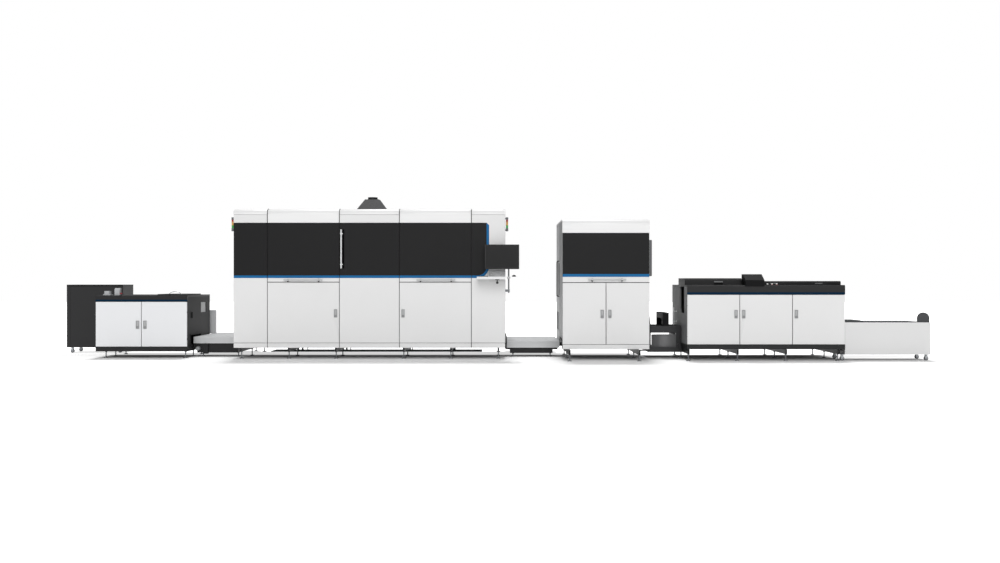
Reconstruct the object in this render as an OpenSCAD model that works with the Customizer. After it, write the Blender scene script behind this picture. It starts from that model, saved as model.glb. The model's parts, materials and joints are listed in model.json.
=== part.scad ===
// Web-fed production inkjet press line, unwinder to delivery belt.
// +X runs with the paper, +Y from the operator side to the rear, +Z up.
// The origin is on the floor, under the middle of the whole line.

/* [Print unit] */
// Width of each end bay
end_bay_w = 510; // [420:5:700]
// Width of each bay with a door
door_bay_w = 1080; // [800:5:1400]
// Width of the middle bay
mid_bay_w = 900; // [600:5:1300]
// Depth from front panels to rear panels
press_d = 1800; // [1500:10:2400]
// Floor to the underside of the cross beams
press_leg_h = 108; // [80:1:160]
// Height of the cross beams
press_beam_h = 57; // [40:1:80]
// Height of the white skirt
press_skirt_h = 73; // [50:1:120]
// Height of the doors
press_door_h = 910; // [700:5:1150]
// Height of the white strip over the doors
press_strip_h = 64; // [40:1:120]
// Height of the coloured stripe
press_stripe_h = 38; // [20:1:60]
// Height of the black upper covers
press_cover_h = 792; // [600:2:1000]
// Height of the white header
press_header_h = 208; // [150:2:300]
// Rounding of the header's top front edge
header_r = 80; // [30:1:80]
// Distance of the stripe's upright part from the right end
accent_inset = 243; // [150:1:330]
// Outer rounding where the stripe turns upright
accent_r = 175; // [100:1:210]

/* [Tower] */
// Width of the tower
tower_w = 1285; // [1000:5:1700]
// Depth of the tower
tower_d = 1700; // [1300:10:2000]
// Floor to the underside of the tower's cross beams
tower_leg_h = 89; // [70:1:140]
// Height of the tower's cross beams
tower_beam_h = 75; // [50:1:90]
// Height of the tower's white skirt
tower_skirt_h = 68; // [50:1:120]
// Height of the tower's white strip
tower_strip_h = 86; // [50:1:140]
// Height of the tower's stripe
tower_stripe_h = 42; // [20:1:60]
// Height of the tower's black cover
tower_cover_h = 607; // [400:1:900]
// Height of the tower's header
tower_header_h = 203; // [150:1:300]
// How far the tower's cross beams reach in front of it
beam_reach = 230; // [120:5:300]
// Lower edge of the window in the tower's left wall
window_z0 = 930; // [800:5:1000]
// Height of that window
window_h = 545; // [400:5:600]

/* [Finishing unit] */
// Width of each of the three finishing doors
finish_bay_w = 771; // [600:1:950]
// Depth of the finishing unit
finish_d = 1380; // [1000:10:1700]
// Floor to the underside of the finishing cross beams
finish_leg_h = 100; // [70:1:140]
// Height of the finishing cross beams
finish_beam_h = 68; // [50:1:90]
// Height of the finishing unit's dark sill
finish_sill_h = 70; // [50:1:120]
// Height of the finishing doors
finish_door_h = 729; // [600:1:950]
// Height of the navy trim over the doors
finish_trim_h = 35; // [20:1:60]
// Height of the dark band over the trim
finish_band_h = 82; // [50:1:140]
// Height of the left lid over the deck
left_lid_h = 100; // [70:1:160]
// Height of the right lid over the deck
right_lid_h = 58; // [45:1:120]
// Width of the left lid
left_lid_w = 845; // [600:1:1000]
// Width of the control box between the lids
control_w = 277; // [200:1:400]
// Width of the paper slot in the left end wall
slot_w = 410; // [200:5:600]

/* [Unwinder] */
// Width of the unwinder
unwinder_w = 1388; // [1000:2:1800]
// Depth of the unwinder
unwinder_d = 1300; // [1150:10:1600]
// Floor to the underside of the unwinder's plinth
unwinder_leg_h = 102; // [75:1:130]
// Height of the unwinder's plinth
unwinder_plinth_h = 71; // [50:1:110]
// Height of the unwinder's doors
unwinder_door_h = 681; // [550:1:900]
// Height of the unwinder's trim
unwinder_trim_h = 31; // [20:1:60]
// Height of the dark band over the trim
unwinder_band_h = 65; // [40:1:120]
// Width of the web exit in the unwinder's right wall
exit_w = 560; // [400:5:600]
// Height of the web exit
exit_h = 150; // [100:5:180]

/* [Cabinet and walkways] */
// Width of the extraction cabinet
cabinet_w = 915; // [600:5:1100]
// Depth of the extraction cabinet
cabinet_d = 500; // [400:5:700]
// Height of the extraction cabinet's body
cabinet_h = 1019; // [800:1:1300]
// Gap between the cabinet and the unwinder
cabinet_gap = 0.5; // [0.3:0.1:0.9]
// Length of the walkway before the print unit
bridge_in_w = 735; // [500:5:1100]
// Length of the walkway after the print unit
bridge_out_w = 839; // [500:1:1100]
// Depth of both walkways
bridge_d = 1480; // [900:10:1600]
// Height of a walkway's cover
bridge_cover_h = 100; // [70:1:140]
// Underside of the cover before the print unit
bridge_in_z = 205; // [160:1:230]
// Underside of the cover after the print unit
bridge_out_z = 138; // [120:1:180]

/* [Infeed and delivery belt] */
// Length of the paper infeed
infeed_w = 535; // [450:5:800]
// Depth of the paper infeed
infeed_d = 700; // [500:5:900]
// Length of the delivery belt unit
belt_unit_w = 1253; // [800:1:1800]
// Depth of the delivery belt unit
belt_unit_d = 500; // [400:5:700]
// Height of the delivery belt unit's housing
belt_unit_h = 470; // [350:1:650]
// Thickness of the belt over the housing
belt_t = 12; // [8:1:20]
// Radius of the end stop's round top
stop_r = 85; // [50:1:110]

/* [Panels and doors] */
// Depth of a door's folded pan
panel_t = 25; // [18:1:28]
// Thickness of the sheet
sheet_t = 2; // [1:0.5:3]
// Open seam between neighbouring panels
seam = 10; // [9:1:16]
// Gap above and below a door
door_gap = 6; // [5:1:10]
// Setback of the frames behind the panels' front
frame_setback = 33; // [30:1:50]
// Thickness of a bulkhead between bays
bulkhead_t = 50; // [50:1:80]
// Thickness of end walls, roofs and decks
wall_t = 25; // [15:1:40]
// Hinge axis, in from the door's edge and behind its face
hinge_in = 9; // [8:0.5:12]
// Radius of a hinge pin
pin_r = 4; // [3:0.5:5]
// Running gap of pin in knuckle
pin_gap = 0.3; // [0.3:0.1:0.5]
// Middle of the latches above the floor
latch_z = 682; // [600:1:760]
// Middle of the unwinder's latches above the floor
unwinder_latch_z = 505; // [400:1:600]
// Width of a latch
latch_w = 50; // [40:1:60]
// Height of a latch
latch_h = 125; // [90:1:150]
// Middle of a latch from the edge of its bay
latch_inset = 56; // [40:1:90]

/* [Feet, casters and handles] */
// Radius of a levelling foot's pad
foot_r = 32; // [25:1:45]
// Radius of a levelling foot's spindle
spindle_r = 8; // [6:1:14]
// Height of a caster
caster_h = 90; // [80:1:110]
// Radius of a caster's wheel
wheel_r = 31; // [25:1:38]
// Radius of the pull bars
bar_r = 10; // [7:1:14]

/* [Console and exhaust] */
// Width of the screen
screen_w = 510; // [380:5:600]
// Height of the screen
screen_h = 366; // [280:2:420]
// Radius of the console's pole
pole_r = 11; // [8:0.5:15]
// Width of the keyboard shelf
shelf_w = 423; // [350:1:460]
// Outer radius of the exhaust collar
collar_r = 75; // [60:1:100]
// Height of the exhaust collar
collar_h = 37; // [30:1:60]
// Width of the hood's base
hood_base_w = 490; // [450:1:650]
// Height of the hood
hood_h = 194; // [140:1:260]

/* [Hidden] */
$fn = 48;
// Overshoot of a cut, and the gap between pieces that seat on curved faces
e = 0.01;
fit_gap = 0.3;

// Setback of each unit's front from the front of the print unit
tower_y = -300;
finish_y = -400;
unwinder_y = 150;
cabinet_y = unwinder_y + unwinder_d - 80;
bridge_y = 500;
infeed_y = 100;
belt_unit_y = finish_y + 10;

// Places along the line, from the cabinet's left side
press_w = 2 * end_bay_w + 2 * door_bay_w + mid_bay_w;
finish_w = 3 * finish_bay_w;
unwinder_x = cabinet_w + cabinet_gap;
bridge_in_x = unwinder_x + unwinder_w;
press_x = bridge_in_x + bridge_in_w;
bridge_out_x = press_x + press_w;
tower_x = bridge_out_x + bridge_out_w;
infeed_x = tower_x + tower_w;
finish_x = infeed_x + infeed_w;
belt_unit_x = finish_x + finish_w;
line_w = belt_unit_x + belt_unit_w;
line_front = min(tower_y - beam_reach, belt_unit_y);
line_back = max(press_d, bridge_y + bridge_d, cabinet_y + cabinet_d, tower_y + tower_d);

// Bay edges of each unit, from its left side
press_edges = [0, end_bay_w, end_bay_w + door_bay_w, end_bay_w + door_bay_w + mid_bay_w,
    press_w - end_bay_w, press_w];
tower_edges = [0, tower_w / 2, tower_w];
finish_edges = [0, finish_bay_w, 2 * finish_bay_w, finish_w];
unwinder_edges = [0, unwinder_w / 2, unwinder_w];

// Levels of the print unit and the tower above the floor
press_skirt_z = press_leg_h + press_beam_h;
press_door_z = press_skirt_z + press_skirt_h;
press_strip_z = press_door_z + press_door_h;
press_stripe_z = press_strip_z + press_strip_h;
press_cover_z = press_stripe_z + press_stripe_h;
press_header_z = press_cover_z + press_cover_h;
press_top = press_header_z + press_header_h;
header_seam_z = press_top - header_r - 5;
tower_skirt_z = tower_leg_h + tower_beam_h;
tower_door_z = tower_skirt_z + tower_skirt_h;
tower_strip_z = tower_door_z + press_door_h;
tower_stripe_z = tower_strip_z + tower_strip_h;
tower_cover_z = tower_stripe_z + tower_stripe_h;
tower_header_z = tower_cover_z + tower_cover_h;
tower_top = tower_header_z + tower_header_h;

// Levels of the finishing unit and the unwinder above the floor
finish_sill_z = finish_leg_h + finish_beam_h;
finish_door_z = finish_sill_z + finish_sill_h;
finish_trim_z = finish_door_z + finish_door_h;
finish_band_z = finish_trim_z + finish_trim_h;
finish_deck_z = finish_band_z + finish_band_h;
finish_top = finish_deck_z + wall_t;
unwinder_door_z = unwinder_leg_h + unwinder_plinth_h;
unwinder_trim_z = unwinder_door_z + unwinder_door_h;
unwinder_band_z = unwinder_trim_z + unwinder_trim_h;
unwinder_top = unwinder_band_z + unwinder_band_h;

// Beams, sills, decks and feet
beam_w = 24;
sill_w = 80;
deck_t = 30;
press_beams = [105, 820, 1530, press_w - 1530, press_w - 820, press_w - 105];
press_feet_y = [90, 790, press_d - 100];
tower_beams = [95, tower_w - 175];
tower_feet_y = [50 - beam_reach, 480, tower_d - 500];
finish_reach = 60;
finish_beams = [15, finish_bay_w - 40, 2 * finish_bay_w - 105, finish_w - 120];
finish_feet_y = [40 - finish_reach, 640, finish_d - 120];

// Headers, seam plates and the exhaust duct
header_d = 400;
fin_t = 4;
fin_proud = 6;
stripe_proud = 1;
hood_x = 2000;
hood_y = 800;
duct_w = 300;
grip_slot_w = 20;

// Hinges: knuckle on the leaf, arm and pin on the frame
knuckle_r = 8;
knuckle_h = 30;
arm_t = 8;

// Openings in the low units and the tower, from each unit's front
window_y = [850, 1600];
web_entry_y = [80, 620];
web_entry_z = 297;
slot_y = 262;
slot_z0 = 687;
slot_corner = 70;
exit_y = 180;
exit_z = unwinder_door_z + 17;
small_window_y = [770, 1066];
small_window_z = [673, 832];
lid_y = 207;
lid_d = 780;
lid_bevel = 30;
grip_w = 128;

// Operator console, from the print unit's left side and front
pole_x = press_w + 50;
pole_y = -20;
pole_z0 = 990;
pole_z1 = 1640;
pole_bracket_z = 1023;
shelf_x = press_w - 421;
shelf_z = 1231;
shelf_lip = 38;
screen_z = 1343;
screen_hub_z = 1490;

// Pull bars and the finger slot beside the upright one
bar_out = 45;
bar_w = 580;
grip_bar_x = press_edges[2] + 33;
grip_bar_z = [press_cover_z + 106, press_cover_z + 688];

// Drip tray under the print unit
tray_y = [830, 1230];
tray_z = 54;
tray_h = 12;
strap_w = 30;
strap_t = 4;

// Shallow relief of walls, decks and covers
plate_proud = 3;
pane_in = 7;
groove_t = 4;
groove_w = 5;
deck_bevel = 16;
grip_in = 30;
lip_proud = 6;
hook_t = 14;
control_d = 260;
control_h = 159;
loading_lid_t = 18;

// Walkways: feet, end plate and the pitch of the tread's grooves
bridge_in_foot_z = 61;
bridge_out_foot_z = 54;
end_plate_t = 25;
tread_pitch = 120;

// Paper infeed: levels of its base, rails and head, and its side plate
infeed_z = 171;
rail_z = 386;
head_z = 488;
rail_d = 60;
plate_x = 55;
plate_t = 17;

// Delivery belt, casters and the unwinder's feet
belt_z = caster_h + belt_unit_h;
caster_in = 70;
axle_r = 5;
unwinder_feet_x = [140, unwinder_w - 40];
unwinder_feet_y = [60, 480, 950];

// Puts a unit's part at its place in the line
module at(x, y, z = 0) {
    translate([x - line_w / 2, y - (line_front + line_back) / 2, z]) children();
}

// A block between two opposite corners
module block(x0, x1, y0, y1, z0, z1) {
    translate([x0, y0, z0]) cube([x1 - x0, y1 - y0, z1 - z0]);
}

// A flat shape in the YZ plane, extruded from x0 to x1
module across(x0, x1) {
    translate([x0, 0, 0]) rotate([90, 0, 90]) linear_extrude(x1 - x0) children();
}

// A flat shape in the XZ plane, extruded from y0 to y1
module upright(y0, y1) {
    translate([0, y1, 0]) rotate([90, 0, 0]) linear_extrude(y1 - y0) children();
}

// A rectangle between two opposite corners
module rect(x0, x1, y0, y1) {
    translate([x0, y0]) square([x1 - x0, y1 - y0]);
}

// A rectangle with round corners, centred
module rounded(w, h, r) {
    square([w - 2 * r, h], center = true);
    square([w, h - 2 * r], center = true);
    for (x = [-1, 1], y = [-1, 1]) translate([x * (w / 2 - r), y * (h / 2 - r)]) circle(r);
}

// A housing's section in depth and height, with its top front corner rounded
module rounded_front(y0, y1, z0, z1, r) {
    rect(y0 + r, y1, z0, z1);
    rect(y0, y0 + r + e, z0, z1 - r);
    translate([y0 + r, z1 - r]) intersection() {
        circle(r);
        rect(-r, e, -e, r);
    }
}

// A low unit's section in depth and height, with its top front edge bevelled
module bevelled_front(y0, y1, z0, z1, bevel) {
    polygon([[y0, z0], [y1, z0], [y1, z1], [y0 + bevel, z1], [y0, z1 - bevel]]);
}

// A folded sheet panel, open at the back, its front face in the XZ plane
module folded_panel(w, h, depth) {
    difference() {
        cube([w, depth, h]);
        translate([sheet_t, sheet_t, sheet_t]) cube([w - 2 * sheet_t, depth, h - 2 * sheet_t]);
    }
}

// Fixed panels on the frame in the listed bays, a seam apart
module panel_row(edges, bays, z0, z1) {
    for (i = bays) translate([edges[i] + seam / 2, 0, z0])
        folded_panel(edges[i + 1] - edges[i] - seam, z1 - z0, frame_setback);
}

// The same row on the rear of a unit of depth d
module rear_row(edges, bays, z0, z1, d) {
    translate([0, d, 0]) mirror([0, 1, 0]) panel_row(edges, bays, z0, z1);
}

// A paddle latch: a bezel with a finger well and a hinged paddle, on the XZ plane
module paddle_latch() {
    bezel_t = 12;
    rim = 7;
    rotate([90, 0, 0]) {
        difference() {
            linear_extrude(bezel_t) rounded(latch_w, latch_h, rim + 1);
            translate([0, 0, sheet_t]) linear_extrude(bezel_t)
                rounded(latch_w - 2 * rim, latch_h - 2 * rim, rim - 2);
        }
        translate([0, latch_h / 9, 0]) linear_extrude(bezel_t - 3)
            rounded(latch_w - 3 * rim, latch_h * 0.6, rim - 3);
    }
}

// Levels of a door's two hinges above its lower edge
function hinge_levels(h) = [120, h - 150];

// A door leaf with its hinge edge on the left, from its lower left front corner
module leaf(w, h, latch_up) {
    notch = arm_t + 5;
    difference() {
        union() {
            folded_panel(w, h, panel_t);
            for (z = hinge_levels(h)) translate([hinge_in, hinge_in, z])
                cylinder(r = knuckle_r, h = knuckle_h);
        }
        for (z = hinge_levels(h)) {
            translate([hinge_in, hinge_in, z - e])
                cylinder(r = pin_r + pin_gap, h = knuckle_h + 2 * e);
            translate([-e, sheet_t, z - notch]) cube([sheet_t + 2 * e, panel_t, notch]);
        }
    }
    translate([w + seam / 2 - latch_inset, 0, latch_up]) paddle_latch();
}

// The fixed hinge arms of one door, each with its pin, reaching from the frame
module arms(h) {
    for (z = hinge_levels(h)) translate([hinge_in, 0, z - pin_gap]) {
        block(-pin_r, pin_r, hinge_in, frame_setback, -arm_t, 0);
        translate([0, hinge_in, -arm_t]) cylinder(r = pin_r + 2, h = arm_t);
        translate([0, hinge_in, 0]) cylinder(r = pin_r, h = knuckle_h - 2);
    }
}

// Places a leaf or its arms in the bay from x0 to x1, hinged on one side
module hung(x0, x1, z0, side) {
    if (side == "left") translate([x0 + seam / 2, 0, z0 + door_gap / 2]) children();
    else translate([x1 - seam / 2, 0, z0 + door_gap / 2]) mirror([1, 0, 0]) children();
}

module door_in(x0, x1, z0, z1, side, latch_at = latch_z) {
    hung(x0, x1, z0, side)
        leaf(x1 - x0 - seam, z1 - z0 - door_gap, latch_at - z0 - door_gap / 2);
}

module arms_in(x0, x1, z0, z1, side) {
    hung(x0, x1, z0, side) arms(z1 - z0 - door_gap);
}

// Section of a bulkhead or end wall, cut round to fit under a header
module bulkhead_section(z0, top, d, grow = 0) {
    intersection() {
        rounded_front(wall_t + fit_gap - grow, d - frame_setback, z0, top - wall_t + grow,
            header_r - wall_t + grow);
        translate([frame_setback - grow, z0]) square([d, top]);
    }
}

module bulkhead(x0, x1, z0, top, d) {
    across(x0, x1) bulkhead_section(z0, top, d);
}

// A header shell over one bay
module header(x0, x1, z0, z1) {
    across(x0, x1) difference() {
        rounded_front(0, header_d, z0, z1, header_r);
        rounded_front(wall_t, header_d + e, z0 - e, z1 - wall_t, header_r - wall_t);
    }
}

// ---- Print unit ----

module press_base() at(press_x, 0) {
    for (x = press_beams) block(x - beam_w / 2, x + beam_w / 2,
        frame_setback, press_d - frame_setback, press_leg_h, press_skirt_z);
    for (y = [frame_setback, (press_d - sill_w) / 2, press_d - frame_setback - sill_w])
        block(0, press_w, y, y + sill_w, press_skirt_z, press_door_z);
}

module press_bulkheads() at(press_x, 0)
    for (i = [1:4]) bulkhead(press_edges[i] - bulkhead_t / 2, press_edges[i] + bulkhead_t / 2,
        press_door_z, press_top, press_d);

// Thin plates that stand proud in the seams of the upper covers and headers
module press_seam_fins() color("#2b2d30") at(press_x, 0)
    for (i = [1:4]) across(press_edges[i] - fin_t / 2, press_edges[i] + fin_t / 2) difference() {
        rounded_front(-fin_proud, header_d, press_cover_z, press_top + fin_proud,
            header_r + fin_proud);
        bulkhead_section(press_door_z, press_top, press_d, fit_gap);
    }

module press_end_walls() at(press_x, 0)
    for (x = [0, press_w - wall_t]) bulkhead(x, x + wall_t, press_door_z, press_top, press_d);

module press_decks() at(press_x, 0)
    for (i = [0:4], z = [press_door_z, press_strip_z])
        block(press_edges[i] + (i == 0 ? wall_t : bulkhead_t / 2),
            press_edges[i + 1] - (i == 4 ? wall_t : bulkhead_t / 2),
            frame_setback, press_d - frame_setback, z, z + deck_t);

module press_skirt() at(press_x, 0) {
    panel_row(press_edges, [0:4], press_skirt_z, press_door_z - door_gap / 2);
    rear_row(press_edges, [0:4], press_skirt_z, press_door_z - door_gap / 2, press_d);
}

// Outline of the last bay's black field, rounded where the stripe turns upright
module field(grow, left_in = 0) {
    r = accent_r - press_stripe_h + grow;
    left = press_edges[4] + seam / 2 + left_in;
    right = press_w - accent_inset - press_stripe_h + grow;
    low = press_cover_z - grow;
    difference() {
        rect(left, right, low, press_header_z);
        translate([right - r, low]) difference() {
            translate([0, -e]) square([r + e, r + e]);
            translate([0, r]) circle(r);
        }
    }
}

// The field grown by the stripe, whose upright end is cut off at 45 degrees
module accent(grow) {
    inner = press_w - accent_inset - press_stripe_h;
    difference() {
        field(grow);
        polygon([[inner - e, press_header_z + e], [inner + grow + e, press_header_z - grow - e],
            [inner + grow + e, press_header_z + e]]);
    }
}

// Outline of the last bay's white panel, inset all round by s
module corner_outline(s) {
    difference() {
        rect(press_edges[4] + seam / 2 + s, press_w - seam / 2 - s,
            press_door_z + door_gap / 2 + s, header_seam_z - door_gap / 2 - s);
        accent(press_stripe_h + fit_gap + s);
    }
}

module press_lower_panels() at(press_x, 0) {
    panel_row(press_edges, [0, 2], press_door_z + door_gap / 2, press_stripe_z);
    panel_row(press_edges, [1, 3], press_strip_z + door_gap / 2, press_stripe_z);
    panel_row(press_edges, [0, 2], press_header_z, header_seam_z - door_gap / 2);
}

module press_corner_panel() at(press_x, 0) difference() {
    upright(0, frame_setback) corner_outline(0);
    upright(sheet_t, frame_setback + e) corner_outline(sheet_t);
}

module press_upper_covers() at(press_x, 0) {
    cover_top = press_header_z - door_gap / 2;
    difference() {
        panel_row(press_edges, [0:3], press_cover_z, cover_top);
        block(grip_bar_x + grip_slot_w, grip_bar_x + 2 * grip_slot_w, -e, sheet_t + e,
            grip_bar_z[0], grip_bar_z[1]);
    }
    difference() {
        upright(0, frame_setback) intersection() {
            field(0);
            rect(0, press_w, press_cover_z, cover_top);
        }
        upright(sheet_t, frame_setback + e) intersection() {
            field(-sheet_t, sheet_t);
            rect(0, press_w, press_cover_z, cover_top - sheet_t);
        }
    }
}

module press_stripe() at(press_x, 0) {
    for (i = [0:3]) block(press_edges[i] + seam / 2, press_edges[i + 1] - seam / 2,
        -stripe_proud, frame_setback, press_stripe_z, press_cover_z);
    upright(-stripe_proud, frame_setback) difference() {
        accent(press_stripe_h);
        field(fit_gap);
    }
}

module press_header() at(press_x, 0)
    for (i = [0:4]) header(press_edges[i] + (i == 0 ? 0 : seam / 2),
        press_edges[i + 1] - (i == 4 ? 0 : seam / 2),
        i % 2 == 0 ? header_seam_z : press_header_z, press_top);

module press_roof() at(press_x, 0) difference() {
    block(0, press_w, header_d, press_d, press_top - wall_t, press_top);
    block(hood_x - duct_w / 2, hood_x + duct_w / 2, hood_y - duct_w / 2, hood_y + duct_w / 2,
        press_top - wall_t - e, press_top + e);
}

module press_rear_panels() at(press_x, 0) {
    rear_row(press_edges, [0:4], press_door_z + door_gap / 2, press_strip_z, press_d);
    rear_row(press_edges, [0:4], press_strip_z + door_gap, press_top - wall_t, press_d);
}

module press_door_left() color("#e2e2e2") at(press_x, 0)
    door_in(press_edges[1], press_edges[2], press_door_z, press_strip_z, "left");

module press_door_right() color("#e2e2e2") at(press_x, 0)
    door_in(press_edges[3], press_edges[4], press_door_z, press_strip_z, "right");

// A four-sided tapered solid from a square base to a square top
module taper(base, top, h) {
    side = [[-base / 2, 0], [base / 2, 0], [top / 2, h], [-top / 2, h]];
    intersection() {
        rotate([90, 0, 0]) translate([0, 0, -base / 2]) linear_extrude(base) polygon(side);
        rotate([90, 0, 90]) translate([0, 0, -base / 2]) linear_extrude(base) polygon(side);
    }
}

// The sheet-metal hood on its flange, with the collar for the duct
module exhaust_hood() color("#8a8d90") at(press_x + hood_x, hood_y, press_top) {
    top_w = 2 * collar_r + 70;
    flange = 12;
    collar_t = 3;
    difference() {
        union() {
            taper(hood_base_w, top_w, hood_h);
            translate([-hood_base_w / 2 - flange, -hood_base_w / 2 - flange, 0])
                cube([hood_base_w + 2 * flange, hood_base_w + 2 * flange, 2 * sheet_t]);
        }
        translate([0, 0, -e])
            taper(hood_base_w - 4 * sheet_t, top_w - 2 * sheet_t, hood_h - sheet_t);
        cylinder(r = collar_r - collar_t, h = hood_h + 1);
    }
    translate([0, 0, hood_h - sheet_t]) difference() {
        cylinder(r = collar_r, h = collar_h + sheet_t);
        translate([0, 0, -e]) cylinder(r = collar_r - collar_t, h = collar_h + sheet_t + 1);
    }
}

// A long shallow tray under the inner cross beams, hung on flat straps
module drip_tray() color("#3a3d40") at(press_x, 0) {
    x0 = press_beams[1] - 426;
    x1 = press_beams[4] + 455;
    difference() {
        block(x0, x1, tray_y[0], tray_y[1], tray_z, tray_z + tray_h);
        block(x0 + sheet_t, x1 - sheet_t, tray_y[0] + sheet_t, tray_y[1] - sheet_t,
            tray_z + sheet_t, tray_z + tray_h + e);
    }
    for (i = [1:4], y = [tray_y[0], tray_y[1] - strap_t])
        block(press_beams[i] - strap_w / 2, press_beams[i] + strap_w / 2, y, y + strap_t,
            tray_z, press_leg_h);
}

// ---- Tower ----

module tower_base() at(tower_x, tower_y) {
    for (x = tower_beams) block(x - beam_w / 2, x + beam_w / 2,
        -beam_reach, tower_d - frame_setback, tower_leg_h, tower_skirt_z);
    for (y = [frame_setback, (tower_d - sill_w) / 2, tower_d - frame_setback - sill_w])
        block(0, tower_w, y, y + sill_w, tower_skirt_z, tower_door_z);
}

module tower_skirt() at(tower_x, tower_y) {
    panel_row([0, tower_w], [0], tower_skirt_z, tower_door_z - door_gap / 2);
    rear_row([0, tower_w], [0], tower_skirt_z, tower_door_z - door_gap / 2, tower_d);
}

// The left wall with its window, raised cover plates and a low recess, on two sill blocks that
// leave the web's entry between them
module tower_left_wall() color("#8f9295") at(tower_x, tower_y) {
    difference() {
        bulkhead(0, wall_t, web_entry_z, tower_top, tower_d);
        block(-e, wall_t + e, window_y[0], window_y[1], window_z0, window_z0 + window_h);
        block(-e, wall_t / 2, window_y[0] + 20, window_y[1] - 100, window_z0 - 530, window_z0 - 250);
    }
    for (y = [[frame_setback, web_entry_y[0]], [web_entry_y[1], tower_d - frame_setback]])
        block(0, wall_t, y[0], y[1], tower_door_z, web_entry_z - fit_gap);
    block(-plate_proud, 0, window_y[0], window_y[1] + 20, window_z0 + window_h + 25, tower_top - 60);
    block(-plate_proud, 0, window_y[0] + 20, window_y[1] - 100, window_z0 - 230, window_z0 - 15);
}

module tower_window() at(tower_x, tower_y)
    block(pane_in, wall_t - pane_in, window_y[0], window_y[1], window_z0, window_z0 + window_h);

module tower_right_wall() at(tower_x, tower_y)
    bulkhead(tower_w - wall_t, tower_w, tower_door_z, tower_top, tower_d);

module tower_decks() at(tower_x, tower_y)
    for (z = [tower_door_z, tower_strip_z])
        block(wall_t, tower_w - wall_t, frame_setback, tower_d - frame_setback, z, z + deck_t);

module tower_upper_panels() at(tower_x, tower_y)
    panel_row([0, tower_w], [0], tower_cover_z, tower_header_z - door_gap / 2);

module tower_strip() at(tower_x, tower_y)
    panel_row([0, tower_w], [0], tower_strip_z + door_gap / 2, tower_stripe_z);

module tower_stripe() at(tower_x, tower_y)
    block(seam / 2, tower_w - seam / 2, -stripe_proud, frame_setback, tower_stripe_z, tower_cover_z);

module tower_header() at(tower_x, tower_y)
    header(0, tower_w, tower_header_z, tower_top);

module tower_roof() at(tower_x, tower_y)
    block(0, tower_w, header_d, tower_d, tower_top - wall_t, tower_top);

module tower_rear_panels() at(tower_x, tower_y) {
    rear_row(tower_edges, [0, 1], tower_door_z + door_gap / 2, tower_strip_z, tower_d);
    rear_row(tower_edges, [0, 1], tower_strip_z + door_gap, tower_top - wall_t, tower_d);
}

module tower_door_left() color("#e2e2e2") at(tower_x, tower_y)
    door_in(0, tower_edges[1], tower_door_z, tower_strip_z, "left");

module tower_door_right() color("#e2e2e2") at(tower_x, tower_y)
    door_in(tower_edges[1], tower_w, tower_door_z, tower_strip_z, "right");

// ---- Finishing unit ----

module finish_base() at(finish_x, finish_y) {
    for (x = finish_beams) block(x - beam_w / 2, x + beam_w / 2,
        -finish_reach, finish_d - frame_setback, finish_leg_h, finish_sill_z);
    block(0, finish_w, 0, finish_d, finish_sill_z, finish_door_z);
}

// Outline of the paper slot, its lower rear corner cut off
module slot_outline() {
    slot_end = slot_y + slot_w;
    polygon([[slot_y, slot_z0], [slot_end - slot_corner, slot_z0], [slot_end, slot_z0 + slot_corner],
        [slot_end, finish_deck_z + e], [slot_y, finish_deck_z + e]]);
}

module finish_end_walls() at(finish_x, finish_y) {
    groove_y = slot_y + slot_w + 228;
    difference() {
        block(0, wall_t, frame_setback, finish_d, finish_door_z, finish_deck_z);
        across(-e, wall_t + e) slot_outline();
        block(-e, groove_t, groove_y, groove_y + groove_w, finish_door_z - e, finish_deck_z + e);
    }
    block(finish_w - wall_t, finish_w, frame_setback, finish_d, finish_door_z, finish_deck_z);
}

module finish_bulkheads() at(finish_x, finish_y)
    for (x = [finish_edges[1], finish_edges[2]])
        block(x - bulkhead_t / 2, x + bulkhead_t / 2, frame_setback, finish_d - wall_t,
            finish_door_z, finish_deck_z);

module finish_rear_panel() at(finish_x, finish_y)
    block(wall_t, finish_w - wall_t, finish_d - wall_t, finish_d, finish_door_z, finish_deck_z);

module finish_trim() at(finish_x, finish_y)
    block(0, finish_w, 0, frame_setback, finish_trim_z + door_gap / 2, finish_band_z);

module finish_band() at(finish_x, finish_y)
    block(0, finish_w, 0, frame_setback, finish_band_z, finish_deck_z);

module finish_deck() at(finish_x, finish_y)
    across(0, finish_w) bevelled_front(0, finish_d, finish_deck_z, finish_top, deck_bevel);

// A lid on the deck with its front edge bevelled
module lid(x0, x1, h) {
    across(x0, x1)
        bevelled_front(lid_y, lid_d, finish_top, finish_top + h, min(lid_bevel, h / 3));
}

// The left lid, with a finger recess under a proud lip
module finish_left_lid() at(finish_x, finish_y) {
    grip_x = left_lid_w * 0.515;
    recess_h = left_lid_h * 0.37;
    lip_h = 20;
    difference() {
        lid(0, left_lid_w, left_lid_h);
        block(grip_x, grip_x + grip_w, lid_y - e, lid_y + grip_in,
            finish_top - e, finish_top + recess_h);
    }
    block(grip_x, grip_x + grip_w, lid_y - lip_proud, lid_y,
        finish_top + recess_h, finish_top + recess_h + lip_h);
}

// The long right lid, with two finger recesses near its top edge
module finish_right_lid() at(finish_x, finish_y) {
    lid_x = left_lid_w + control_w + 16;
    difference() {
        lid(lid_x, finish_w, right_lid_h);
        for (x = [lid_x + 125, finish_w - 384])
            block(x, x + grip_w - 10, lid_y - e, lid_y + grip_in / 2,
                finish_top + right_lid_h - 42, finish_top + right_lid_h - 22);
    }
}

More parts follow.
